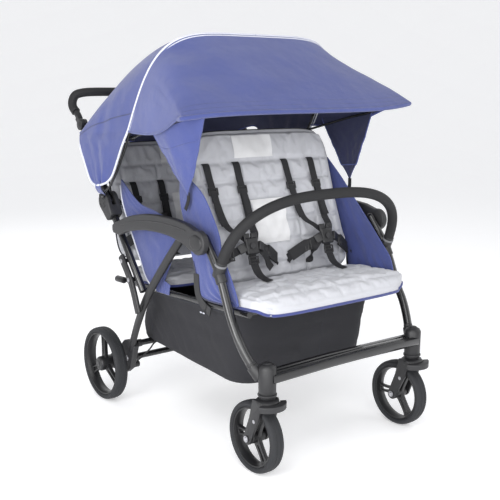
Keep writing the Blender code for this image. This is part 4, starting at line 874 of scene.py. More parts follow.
def bumper_point(turn):
    """A place on the bumper bar's middle line, for an angle from 0 to pi."""
    power = 2 / 2.73
    across = abs(math.cos(turn)) ** power * BUMPER_X
    up = abs(math.sin(turn)) ** power * BUMPER_TALL
    side = -1 if math.cos(turn) > 0 else 1
    y, z = BUMPER_FOOT
    return at(side * across, y - up * math.cos(BUMPER_TILT), z + up * math.sin(BUMPER_TILT))


def bumper():
    arch = [bumper_point(math.pi * k / 72) for k in range(4, 69)]
    ends = [at(side * BUMPER_X, *BUMPER_FOOT) + BUMPER_RISE * 0.0302 for side in (-1, 1)]
    foam = tube([ends[0], *arch, ends[1]], 0.0150, fineness=10)
    finished(foam, "bumper_foam", FOAM, body_of["bumper_bar"], ["bumper_bar"], 60)
    for side, end in zip((-1, 1), ends):
        cuff = rod(end + BUMPER_RISE * 0.0002, end + BUMPER_RISE * 0.0075, 0.0158, 0.0014, 48)
        finished(cuff, f"bumper_cuff_{side_name(side)}", SATIN_BLACK, body_of["bumper_bar"])


def rear_leg(side):
    name = side_name(side)
    node = f"rear_leg_{name}"
    top = along(REAR_PIVOT, LOWER_RIVET, -0.012)
    knots = [
        (REAR_LEG_X, *top), (REAR_LEG_X, 0.395, 0.502), (REAR_LEG_X, 0.490, 0.396),
        (REAR_LEG_X, 0.545, 0.312), (REAR_LEG_X - 0.005, 0.590, 0.240),
        (BRACKET_X + 0.003, 0.622, 0.192),
    ]
    path = [at(side * a, b, c) for a, b, c in spline(knots, 10)]
    dressed(bar(path, LEG_WIDE, LEG_DEEP), node, SATIN_BLACK, 50)
    node = f"rear_bracket_{name}"
    refined(node, DARK_PLASTIC, 0.0016)
    for place, word in ((AXLE_BAR, "axle"), (UPPER_BAR, "upper")):
        outer = at(side * (BRACKET_X + 0.010), *place)
        bolt_head(outer, side, 0.0085, 0.0040, STEEL, f"{word}_bar_bolt_{name}", body_of[node])
    low, high = -(REAR_AXLE[0] - BRACKET_X - 0.010 - 0.0008), REAR_WHEEL_WIDTH / 2 + 0.003
    size = (REAR_WHEEL_RADIUS, REAR_WHEEL_WIDTH, REAR_HUB)
    wheel("rear", side, REAR_AXLE, *size, (low, high), 90)


def rear_bars():
    reach = BRACKET_X - 0.0103
    for node, place in (("rear_axle_tube", AXLE_BAR), ("rear_crossbar", UPPER_BAR)):
        line = rod(at(-reach, *place), at(reach, *place), CROSS_TUBE, 0.0, 48)
        collars = [
            rod(
                at(way * (reach - 0.016), *place),
                at(way * reach, *place),
                CROSS_TUBE + 0.0022,
                0.0010,
            )
            for way in (-1, 1)
        ]
        dressed(line, node, GLOSS_BLACK)
        finished(as_one(collars), node + "_collars", SATIN_BLACK, body_of[node])
    ahead = UPPER_BAR[0] - CROSS_TUBE - 0.0028
    half = [
        (reach - 0.002, 0.614, 0.152), (reach - 0.016, 0.610, 0.162),
        (reach - 0.036, ahead - 0.006, 0.190), (reach - 0.062, ahead, 0.208),
        (reach - 0.100, ahead, 0.212),
    ]
    knots = mirrored([(-x, y, z) for x, y, z in half])
    cable = tube([at(*point) for point in spline(knots, 10)], 0.0025, fineness=4)
    dressed(cable, "brake_cable", NIGHT, 60)
    for k, x in enumerate((-0.12, 0.0, 0.12)):
        tie = rod(
            at(x - 0.003, 0.6085, 0.212), at(x + 0.003, 0.6085, 0.212), CROSS_TUBE + 0.0040, 0.0010
        )
        finished(tie, f"cable_tie_{k}", NIGHT, body_of["rear_crossbar"])
    refined("brake_pedal", DARK_PLASTIC, 0.0012)


def seat_tubes():
    left = [(-RAIL_X, 0.020, rail_height(0.020)), (-RAIL_X, 0.564, rail_height(0.564))]
    left.append((-RAIL_X, RAIL_BACK, rail_height(RAIL_BACK)))
    rails = tube([at(*p) for p in bent(mirrored(left), 0.05)], RAIL_TUBE)
    dressed(rails, "seat_frame", GLOSS_BLACK, 60)
    reach = RAIL_X - RAIL_TUBE - GAP
    front = rod(
        at(-reach, 0.045, rail_height(0.045)),
        at(reach, 0.045, rail_height(0.045)),
        RAIL_TUBE,
        0.0, 48,
    )
    dressed(front, "seat_front_tube", GLOSS_BLACK)
    lean = Vector((LEAN.y, LEAN.z))
    normal = Vector((lean.y, -lean.x))
    foot = Vector(FRONT_BACK[:2]) + normal * (BACK_THICKNESS + RAIL_TUBE + GAP)
    left = [
        (-reach, foot.x, rail_height(foot.x)), (-reach + 0.022, foot.x, rail_height(foot.x)),
        (-0.215, *(foot + lean * 0.05)), (-0.215, *(foot + lean * 0.385)),
    ]
    corners = mirrored(left)
    hoop = tube([at(*p) for p in bent(corners, 0.035)], RAIL_TUBE)
    dressed(hoop, "front_back_frame", GLOSS_BLACK, 60)
    rear = Vector(REAR_BACK[:2]) + normal * (BACK_THICKNESS + REAR_BAR_TUBE + GAP) + lean * 0.235
    reach = PUSH_TUBE_X - 0.0223
    beside = BACK_HALF_WIDTH + RAIL_TUBE + 0.002
    spot = (FOLD_HUB[0] - 0.004, FOLD_HUB[1] - 0.012)
    left = [(-reach, *spot), (-beside, *spot), (-beside, *rear)]
    corners = mirrored(left)
    hoop = tube([at(*p) for p in bent(corners, 0.03)], REAR_BAR_TUBE)
    dressed(hoop, "rear_back_bar", GLOSS_BLACK, 60)


def push_side(side):
    """The lower push tube, its strut, the fold hub and the armrest."""
    name = side_name(side)
    x = side * PUSH_TUBE_X
    foot = along(LOWER_RIVET, FOLD_HUB, LEG_DEEP / 2 + 0.003)
    head = along(FOLD_HUB, LOWER_RIVET, 0.022)
    node = f"push_tube_{name}"
    post = rod(at(x, *foot), at(x, *head), MAIN_TUBE, 0.001, 48)
    level = along(LOWER_RIVET, FOLD_HUB, 0.0215)
    spur = rod(at(side * (RAIL_X + RAIL_TUBE + GAP), *level), at(x, *level), 0.006)
    dressed(as_one([post, spur]), node, GLOSS_BLACK)

    strut_x = side * (PUSH_TUBE_X + MAIN_TUBE + GAP + STRUT_WIDE / 2)
    line = (Vector(FOLD_HUB) - Vector(LOWER_RIVET)).normalized()
    below = Vector((line.y, -line.x)) * (MAIN_TUBE + GAP + 0.0068)

    def beside(up, share=1.0):
        return along(LOWER_RIVET, FOLD_HUB, up) + below * share

    knots = [
        at(strut_x, *beside(up, share)) for up, share in ((0.155, 1.0), (0.060, 1.0), (-0.034, 2.3))
    ]
    node = f"side_strut_{name}"
    strut = bar(spline(knots, 14), STRUT_WIDE, STRUT_DEEP)
    pins = [
        rod(at(strut_x, *beside(up)), at(side * (PUSH_TUBE_X - 0.006), *beside(up)), 0.0068)
        for _, up in STRUT_RIVETS
    ]
    dressed(as_one([strut, *pins]), node, SATIN_BLACK, 50)
    for word, up in STRUT_RIVETS:
        face = at(strut_x + side * STRUT_WIDE / 2, *beside(up))
        bolt_head(face, side, 0.0070, 0.0028, STEEL, f"strut_rivet_{word}_{name}", body_of[node])

    node = f"fold_hub_{name}"
    refined(node, DARK_PLASTIC, 0.0022)
    face = at(x + side * 0.022, *FOLD_HUB)
    disc = [
        (0.0, 0.0030), (0.0105, 0.0028), (0.0115, 0.0014), (0.0170, 0.0012), (0.0182, 0.0024),
        (0.0205, 0.0022), (0.0215, 0.0), (0.0, 0.0),
    ]
    disc = turned(facing(disc, side), face, 64)
    finished(disc, f"fold_hub_cap_{name}", SATIN_BLACK, body_of[node], (), 30)

    top = [
        (0.614, 0.617), (0.556, 0.637), (0.476, 0.654), (0.397, 0.662), (0.296, 0.663),
        (0.226, 0.657),
    ]
    under = [
        (0.205, 0.586), (0.250, 0.601), (0.330, 0.612), (0.425, 0.611), (0.496, 0.603),
        (0.565, 0.589),
    ]
    outline = flat_spline(top, 6) + arc(LEG_PIVOT, 0.034, 75, 300, 36) + flat_spline(under, 6)
    outline += [(0.612, 0.573), (0.644, 0.576), (0.650, 0.584), (0.650, 0.600), (0.636, 0.610)]
    inner = side * (REAR_LEG_X + LEG_WIDE / 2 + 0.0006)
    outer = inner + side * 0.021
    arm = plate(outline, inner, outer, 0.0048, (), 4)
    ridge_line = [
        (0.598, 0.606), (0.540, 0.622), (0.470, 0.635), (0.390, 0.643), (0.300, 0.644),
        (0.226, 0.639),
    ]
    ridge = tube(
        [at(outer - side * 0.0006, *p) for p in flat_spline(ridge_line, 8)], 0.0022, fineness=4
    )
    node = f"armrest_{name}"
    dressed(as_one([arm, ridge]), node, DARK_PLASTIC, 44)
    cap = [
        (0.0, 0.0052), (0.016, 0.0050), (0.0215, 0.0042), (0.0240, 0.0026), (0.0250, 0.0),
        (0.0, 0.0),
    ]
    dome = turned(facing(cap, side), (0.0, 0.0, 0.0), 72)
    choose(dome)
    bpy.ops.object.mode_set(mode="EDIT")
    bpy.ops.mesh.select_all(action="SELECT")
    bpy.ops.transform.resize(value=(1.0, 1.18, 0.86), center_override=(0.0, 0.0, 0.0))
    bpy.ops.transform.translate(value=at(outer, LEG_PIVOT[0] + 0.002, LEG_PIVOT[1]))
    bpy.ops.object.mode_set(mode="OBJECT")
    finished(dome, f"armrest_cap_{name}", SATIN_BLACK, body_of[node], (), 40)


def handle():
    for side in (-1, 1):
        node = f"handle_tube_{side_name(side)}"
        refined(node, GLOSS_BLACK, 0.0008)
        x = side * PUSH_TUBE_X
        low = along(FOLD_HUB, KNUCKLE, 0.0335)
        band = rod(
            at(x, *low), at(x, *along(FOLD_HUB, KNUCKLE, 0.050)), MAIN_TUBE + 0.0016, 0.0010, 40
        )
        finished(band, f"hub_collar_{side_name(side)}", SATIN_BLACK, body_of[node])
    bend = (KNUCKLE[0] + (0.945 - KNUCKLE[0]) * 0.56, KNUCKLE[1] + 0.034)
    out = (Vector(bend) - Vector(KNUCKLE)).normalized()
    start = Vector(KNUCKLE) + out * 0.026
    left = [
        (-PUSH_TUBE_X, *start), (-PUSH_TUBE_X, *bend), (-0.330, 0.939, 0.960),
        (-0.327, 0.945, 0.982), (-0.316, 0.941, 1.000), (-0.290, 0.933, 1.0075),
        (-0.250, 0.927, 1.0095), (-0.180, 0.925, 1.0095),
    ]
    knots = mirrored(left)
    path = [at(*point) for point in spline(knots, 10)]
    body = body_of["handle_grip"]
    foam = tube(path[14:-14], 0.0145, fineness=10)
    finished(foam, "handle_grip_foam", FOAM, body, ["handle_grip"], 60)
    for side in (-1, 1):
        name = side_name(side)
        x = side * PUSH_TUBE_X
        run = path[:18] if side < 0 else path[-18:]
        core = tube(run, 0.011, fineness=8)
        wide = Vector((-out.y, out.x)) * 0.010
        end = Vector(KNUCKLE) + out * 0.033
        lap = rod(
            at(x + side * 0.0004, *KNUCKLE), at(x + side * 0.0122, *KNUCKLE), 0.0190, 0.0022, 48
        )
        neck = plate(
            [
                tuple(Vector(KNUCKLE) + wide),
                tuple(Vector(KNUCKLE) - wide),
                tuple(end - wide),
                tuple(end + wide),
            ],
            x + side * 0.0011,
            x + side * 0.0107,
            0.001,
        )
        finished(as_one([core, lap, neck]), f"grip_joint_{name}", SATIN_BLACK, body)
        bolt_head(
            at(x + side * 0.0120, *KNUCKLE),
            side,
            0.0085, 0.0026,
            DARK_PLASTIC,
            f"knuckle_button_{name}",
            body,
        )
        cuff = path[13:16] if side < 0 else path[-16:-13]
        finished(tube(cuff, 0.0152, fineness=8), f"grip_cuff_{name}", SATIN_BLACK, body)


# Cloth and padding


def cloth_grid(place, columns, rows, size, name="cloth"):
    """A sheet on the surface place(a, b), with its UV map in metres of cloth."""
    mesh = bpy.data.meshes.new(name)
    bm = bmesh.new()
    bmesh.ops.create_grid(bm, x_segments=columns, y_segments=rows, size=1.0)
    layer = bm.loops.layers.uv.new("cloth")
    for face in bm.faces:
        for loop in face.loops:
            loop[layer].uv = (
                (loop.vert.co.x + 1) / 2 * size[0], (loop.vert.co.y + 1) / 2 * size[1]
            )
    for vert in bm.verts:
        vert.co = place((vert.co.x + 1) / 2, (vert.co.y + 1) / 2)
    bm.to_mesh(mesh)
    bm.free()
    return linked(name, mesh)


def thickened(piece, thickness, offset=0.0, inner_face_offset=0):
    """Gives a sheet its thickness, with the inner face on another finish if asked; on the canopy
    that finish is the darker canvas of painted shade.
    """
    solid = piece.modifiers.new("thickness", "SOLIDIFY")
    solid.thickness = thickness
    solid.offset = offset
    solid.material_offset = inner_face_offset
    if inner_face_offset:
        piece.data.materials.append(None)
        piece.data.materials.append(None)
    return piece


def crown(a, b, power=4.0):
    """1 in the middle of a cushion, falling to 0 at its sides."""
    return max(0.0, (1 - abs(2 * a - 1) ** power) * (1 - abs(2 * b - 1) ** power))


def rounded_square(a, b, corner, front=0.0):
    """Pulls a unit square's corners in to a rounded outline, the front ones further if asked."""
    u = 2 * a - 1
    v = 2 * b - 1
    pull = 1 - corner * (u * u) ** 3 * (v * v) ** 3
    if front and v < 0:
        pull = 1 - front * (u * u) ** 2.2 * (v * v) ** 1.6
    return (1 + u * pull) / 2, (1 + v * pull) / 2


def seam_dip(distance, width):
    """How deep a stitched line pulls the cloth in, 1 on the line and 0 a little way off."""
    share = min(1.0, abs(distance) / width)
    return (1 - share) ** 2 * (1 + 2 * share)


def quilted(name, columns, rows, place, seams, size):
    """A closed cushion. place(a, b, c) gives its points; c is 0 on the back and 1 on the face.

    seams(a, b) is 1 where a stitched line holds the face down. Air pressure swells the rest.
    """
    mesh = bpy.data.meshes.new(name)
    bm = bmesh.new()
    spots = bm.verts.layers.float_vector.new("spot")
    bmesh.ops.create_grid(bm, x_segments=columns, y_segments=rows, size=1.0)
    layer = bm.loops.layers.uv.new("cloth")
    for vert in bm.verts:
        vert[spots] = ((vert.co.x + 1) / 2, (vert.co.y + 1) / 2, 0.0)
    shell = bmesh.ops.extrude_face_region(bm, geom=bm.faces[:])
    for item in shell["geom"]:
        if isinstance(item, bmesh.types.BMVert):
            item[spots] = (item[spots][0], item[spots][1], 1.0)
    rim = [
        edge for edge in bm.edges if abs(edge.verts[0][spots][2] - edge.verts[1][spots][2]) > 0.5
    ]
    for vert in bm.verts:
        vert.co = place(*vert[spots])
    bmesh.ops.subdivide_edges(bm, edges=rim, cuts=2, use_grid_fill=False)
    bmesh.ops.recalc_face_normals(bm, faces=bm.faces)
    for face in bm.faces:
        for loop in face.loops:
            a, b, c = loop.vert[spots]
            loop[layer].uv = (a * size[0], b * size[1] + c * 0.02)
    bm.verts.index_update()
    held = []
    for vert in bm.verts:
        a, b, c = vert[spots]
        held.append((vert.index, 1.0 if c < 0.9 else min(1.0, seams(a, b))))
    bm.to_mesh(mesh)
    bm.free()
    made = linked(name, mesh)
    return made, held


def inflated(piece, held, pressure, cap, frames=14):
    """Swells a sewn cushion by cloth simulation, held on its back and along its seams."""
    group = piece.vertex_groups.new(name="sewn")
    for index, hold in held:
        if hold > 0.02:
            group.add([index], hold, "REPLACE")
    before = [vert.co.copy() for vert in piece.data.vertices]
    cloth = piece.modifiers.new("swelling", "CLOTH")
    settings = cloth.settings
    settings.quality = 5
    settings.mass = 0.25
    settings.tension_stiffness = 25.0
    settings.compression_stiffness = 25.0
    settings.shear_stiffness = 12.0
    settings.bending_stiffness = 1.2
    settings.air_damping = 4.0
    settings.use_pressure = True
    settings.uniform_pressure_force = pressure
    settings.vertex_group_mass = "sewn"
    settings.pin_stiffness = 1.0
    settings.effector_weights.gravity = 0.0
    settings.shrink_min = -0.035
    cloth.collision_settings.use_collision = False
    cloth.collision_settings.use_self_collision = False
    cloth.point_cache.frame_start = 1
    cloth.point_cache.frame_end = frames
    for step in range(1, frames + 1):
        scene.frame_set(step)
    applied(piece)
    for vert, old in zip(piece.data.vertices, before):
        move = vert.co - old
        if move.length > cap:
            vert.co = old + move.normalized() * cap
    scene.frame_set(1)
    piece.vertex_groups.clear()
    return piece


def sewn_cushion(
    name, columns, rows, place, seams, size, body, node, pressure=3.0, cap=0.006
):
    """A swollen, quilted cushion in the room of its solid."""
    made, held = quilted(name, columns, rows, place, seams, size)
    inflated(made, held, pressure, cap)
    choose(made)
    smooth = made.modifiers.new("smooth", "SUBSURF")
    smooth.levels = 1
    smooth.render_levels = 1
    finished(made, name, QUILT, body, [node], 60)
    return made


def wrinkle(point, scale, depth):
    """A soft, seeded unevenness of cloth at a place."""
    return noise.noise(Vector(point) * scale + Vector((3.1, 7.7, 1.3))) * depth


# Stitched lines: rows as shares of a cushion's height or length, columns as places across it
FRONT_ROWS = (0.11, 0.25, 0.39, 0.53, 0.66, 0.79)
REAR_ROWS = (0.12, 0.30, 0.48, 0.66, 0.80)
BACK_COLUMNS = (-0.232, -0.095, 0.095, 0.232)
PAD_ROWS = (0.13, 0.37, 0.61, 0.82)

# Where each seat pad starts and ends along the rails
FRONT_PAD = (-0.040, 0.216)
REAR_PAD = (0.432, 0.684)


def back_seams(rows, height):
    """How firmly a backrest's stitching holds at (a, b)."""

    def hold(a, b):
        across = BACK_HALF_WIDTH * (2 * a - 1)
        level = max(seam_dip((b - row) * height, 0.010) for row in rows)
        upright = 0.0
        if b < rows[-1]:
            upright = max(seam_dip(across - line, 0.009) for line in BACK_COLUMNS) * 0.85
        edge = (
            1.0
            if min(a, 1 - a) * 2 * BACK_HALF_WIDTH < 0.012 or min(b, 1 - b) * height < 0.012
            else 0.0
        )
        return max(level, upright, edge)

    return hold


def back_place(foot, rows):
    """A backrest's surface: rows of shallow pillows between stitched lines, under a plain band."""
    y, z, height = foot
    base = at(0.0, y, z)
    hold = back_seams(rows, height)

    def place(a, b, c):
        soft = crown(a, b)
        firm = crown(a, b, 12)
        across = BACK_HALF_WIDTH * (2 * a - 1)
        seam = hold(a, b)
        ra, rb = rounded_square(a, b, 0.10)
        if c > 0.5:
            pillow = 0.0095 * (1 - seam)
            depth = 0.0082 - pillow + 0.0075 * (1 - soft)
            depth += wrinkle((across, b * height, 0.2), 38.0, 0.0016) * (0.35 + soft)
            depth += wrinkle((across, b * height, 1.2), 13.0, 0.0022) * soft
        else:
            depth = BACK_THICKNESS - 0.0080 * (1 - firm)
        spot = base + LEAN * ((height + 0.033) * rb - 0.022)
        spot = spot + INWARD * depth
        half = BACK_HALF_WIDTH + 0.013 * (1 - ease(b, 0.0, 0.6))
        return Vector((half * (2 * ra - 1), spot.y, spot.z))

    return place, hold


def droop(ahead, start):
    """How far a pad's front hangs past its rails, from 0 to 1, this far behind its front edge."""
    return (1 - ease(ahead, 0.0, 0.040)) if start < 0.1 else 0.0


def pad_place(start, end, rows):
    """A seat pad on the rails, its front edge rolled down."""
    length = end - start

    def hold(a, b):
        level = max(seam_dip((b - row) * length, 0.010) for row in rows)
        across = PAD_HALF_WIDTH * (2 * a - 1)
        upright = 0.8 * seam_dip(across, 0.010)
        edge = (
            1.0
            if min(a, 1 - a) * 2 * PAD_HALF_WIDTH < 0.012 or min(b, 1 - b) * length < 0.010
            else 0.0
        )
        return max(level, upright, edge)

    def place(a, b, c):
        soft = crown(a, b)
        seam = hold(a, b)
        across = PAD_HALF_WIDTH * (2 * a - 1)
        ra, rb = rounded_square(a, b, 0.12, 0.20 if start < 0.1 else 0.0)
        y = start + length * rb
        floor = rail_height(y) + RAIL_TUBE + 0.0004 - 0.015 * droop(length * b, start)
        roll = max(0.0, 0.05 - length * b) / 0.05
        if c > 0.5:
            up = (
                floor
                + PAD_THICKNESS
                - 0.0062
                + 0.0062 * (1 - seam)
                - 0.010 * (1 - soft)
                - 0.009 * roll * roll
            )
            up += wrinkle((across, y, 0.6), 34.0, 0.0018) * (0.4 + soft)
            up += wrinkle((across, y, 2.6), 12.0, 0.0024) * soft
        else:
            up = floor + 0.002 * (1 - crown(a, b, 10))
        half = PAD_HALF_WIDTH + (0.013 * (1 - ease(y, -0.005, 0.04)) if start < 0.1 else 0.0)
        return at(half * (2 * ra - 1), y, up)

    return place, hold


def cushions():
    """Both rows' backrests and seat pads, with their piping, bindings and care labels."""
    for row, foot, rows, node in (
        ("front", FRONT_BACK, FRONT_ROWS, "front_backrest"),
        ("rear", REAR_BACK, REAR_ROWS, "rear_backrest"),
    ):
        height = foot[2]
        place, hold = back_place(foot, rows)
        body = body_of[node]
        sewn_cushion(
            f"{row}_back_cushion",
            100,
            int(height / 0.0055),
            place,
            hold,
            (0.544, height),
            body,
            node,
        )
        outline = [(place(a, b, 1.0) + place(a, b, 0.0)) / 2 for a, b in rim_path()]
        trim(outline, 0.0034, 4, f"{row}_back_binding", BINDING, body)
        stitched = []
        for level in rows:
            line = [place(0.04 + 0.92 * k / 80, level, 1.0) - INWARD * 0.0006 for k in range(81)]
            stitched.append(tube(line, 0.0007, fineness=1))
        finished(as_one(stitched), f"{row}_back_stitching", PIPING, body, (), 60)
    for row, start, end, node in (
        ("front", *FRONT_PAD, "front_seat_pad"),
        ("rear", *REAR_PAD, "rear_seat_pad"),
    ):
        place, hold = pad_place(start, end, PAD_ROWS)
        body = body_of[node]
        sewn_cushion(f"{row}_pad_cushion", 100, 46, place, hold, (0.572, end - start), body, node)
        outline = [place(a, b, 0.0).lerp(place(a, b, 1.0), 0.06) for a, b in rim_path(closed=True)]
        trim(outline, 0.0042, 4, f"{row}_pad_piping", SEAT_EDGE, body, True)


def rim_path(closed=False):
    """(a, b) places round a cushion's rim: up one side, over the top and down, or right round."""
    side = [k / 30 for k in range(31)]
    path = [(0.0, b) for b in side] + [(a, 1.0) for a in side[1:]] + [
        (1.0, 1.0 - b) for b in side[1:]
    ]
    if closed:
        path += [(1.0 - a, 0.0) for a in side[1:-1]]
    return path


def care_labels():
    """Plain care labels, with nothing printed on them, sewn to the middle of both backrests."""
    for name, row, foot, middle, low, wide, tall in (
        ("front_upper", "front", FRONT_BACK, -0.036, 0.388, 0.146, 0.068),
        ("front_lower", "front", FRONT_BACK, -0.016, 0.158, 0.124, 0.134),
        ("rear_upper", "rear", REAR_BACK, 0.000, 0.322, 0.146, 0.066),
        ("rear_lower", "rear", REAR_BACK, 0.006, 0.140, 0.120, 0.110),
    ):
        cushion = bpy.data.objects[f"{row}_back_cushion"]
        skin = BVHTree.FromPolygons(
            [v.co for v in cushion.data.vertices], [p.vertices for p in cushion.data.polygons]
        )
        base = at(0.0, foot[0], foot[1])
        columns, rows = 16, 16

        def patch(u, v):
            """A place over the label, for shares from 0 to 1 across it and up it."""
            return base + LEAN * (low + tall * (v - 0.5)) + RIGHT * (middle + wide * (u - 0.5))

        depths = {}
        for j in range(rows + 1):
            for k in range(columns + 1):
                here = patch(k / columns, j / rows)
                struck = skin.ray_cast(here - INWARD * 0.08, INWARD)
                depths[k, j] = struck[3] if struck[0] else 0.085
        for _ in range(3):
            smoothed = {}
            for (k, j), depth in depths.items():
                near = [
                    depths.get((k + i, j + m), depth) for i, m in ((1, 0), (-1, 0), (0, 1), (0, -1))
                ]
                smoothed[k, j] = min(depth, (depth + sum(near)) / 5)
            depths = smoothed

        def spot(a, b):
            k, j = round(a * columns), round(b * rows)
            return patch(a, b) + INWARD * (depths[k, j] - 0.08 - 0.0011)

        made = thickened(cloth_grid(spot, columns, rows, (wide, tall), name), 0.0006)
        finished(made, f"care_label_{name}", LABEL, body_of[f"{row}_backrest"], (), 50)


# Harnesses


def strap_shape(points, width, thickness, across=(1, 0, 0)):
    """Flat webbing along the points, its UV map running down its length."""
    total = [0.0]
    for first, second in zip(points, points[1:]):
        total.append(total[-1] + (second - first).length)
    mesh = bpy.data.meshes.new("webbing")
    bm = bmesh.new()
    layer = bm.loops.layers.uv.new("cloth")
    sections = (-0.5, -0.44, -0.22, 0.0, 0.22, 0.44, 0.5)
    rows = []
    for k, point in enumerate(points):
        ahead = (points[min(k + 1, len(points) - 1)] - points[max(k - 1, 0)]).normalized()
        share = k / (len(points) - 1)
        sideways = Vector(across(share) if callable(across) else across)
        sideways = (sideways - ahead * sideways.dot(ahead)).normalized()
        rows.append([bm.verts.new(point + sideways * (width * part)) for part in sections])
    for k in range(len(rows) - 1):
        for j in range(len(sections) - 1):
            face = bm.faces.new((rows[k][j], rows[k][j + 1], rows[k + 1][j + 1], rows[k + 1][j]))
            spots = ((k, j), (k, j + 1), (k + 1, j + 1), (k + 1, j))
            for loop, (row, column) in zip(face.loops, spots):
                loop[layer].uv = (sections[column] * width, total[row])
    bm.to_mesh(mesh)
    bm.free()
    made = linked("webbing", mesh)
    thickened(made, thickness)
    return applied(made)


def moulded_box(centre, across, up, size, corner, recess=0.0):
    """A small moulding with rounded corners, its recessed face pointing out from the seat."""
    clear()
    bpy.ops.mesh.primitive_cube_add(size=1.0, location=(0, 0, 0))
    made = bpy.context.object
    bpy.ops.object.mode_set(mode="EDIT")
    bpy.ops.transform.resize(value=size, center_override=(0, 0, 0))
    bpy.ops.mesh.select_all(action="SELECT")
    bpy.ops.mesh.bevel(offset=corner, segments=3, affect="EDGES")
    if recess:
        bm = bmesh.from_edit_mesh(made.data)
        for face in bm.faces:
            face.select_set(face.normal.z > 0.99)
        bmesh.update_edit_mesh(made.data)
        bpy.ops.mesh.inset(thickness=min(size[0], size[1]) * 0.16, depth=-recess)
    bpy.ops.object.mode_set(mode="OBJECT")
    across = across.normalized()
    out = across.cross(up).normalized()
    up = out.cross(across)
    turn = Matrix((across, up, out)).transposed().to_4x4()
    made.matrix_world = Matrix.Translation(centre) @ turn
    bpy.ops.object.transform_apply(location=True, rotation=True, scale=True)
    return made


def strap_slide(centre, across, up, wide):
    """A two-slot slide: a rounded ring with a middle bar, that the webbing weaves through."""
    rails = [
        moulded_box(centre + up * offset, across, up, (wide + 0.008, 0.0042, 0.0052), 0.0014)
        for offset in (-0.0095, 0.0, 0.0095)
    ]
    ends = [
        moulded_box(
            centre + across.normalized() * way * (wide / 2 + 0.0028),
            across,
            up,
            (0.0040, 0.0230, 0.0052), 0.0014,
        )
        for way in (-1, 1)
    ]
    return as_one(rails + ends)


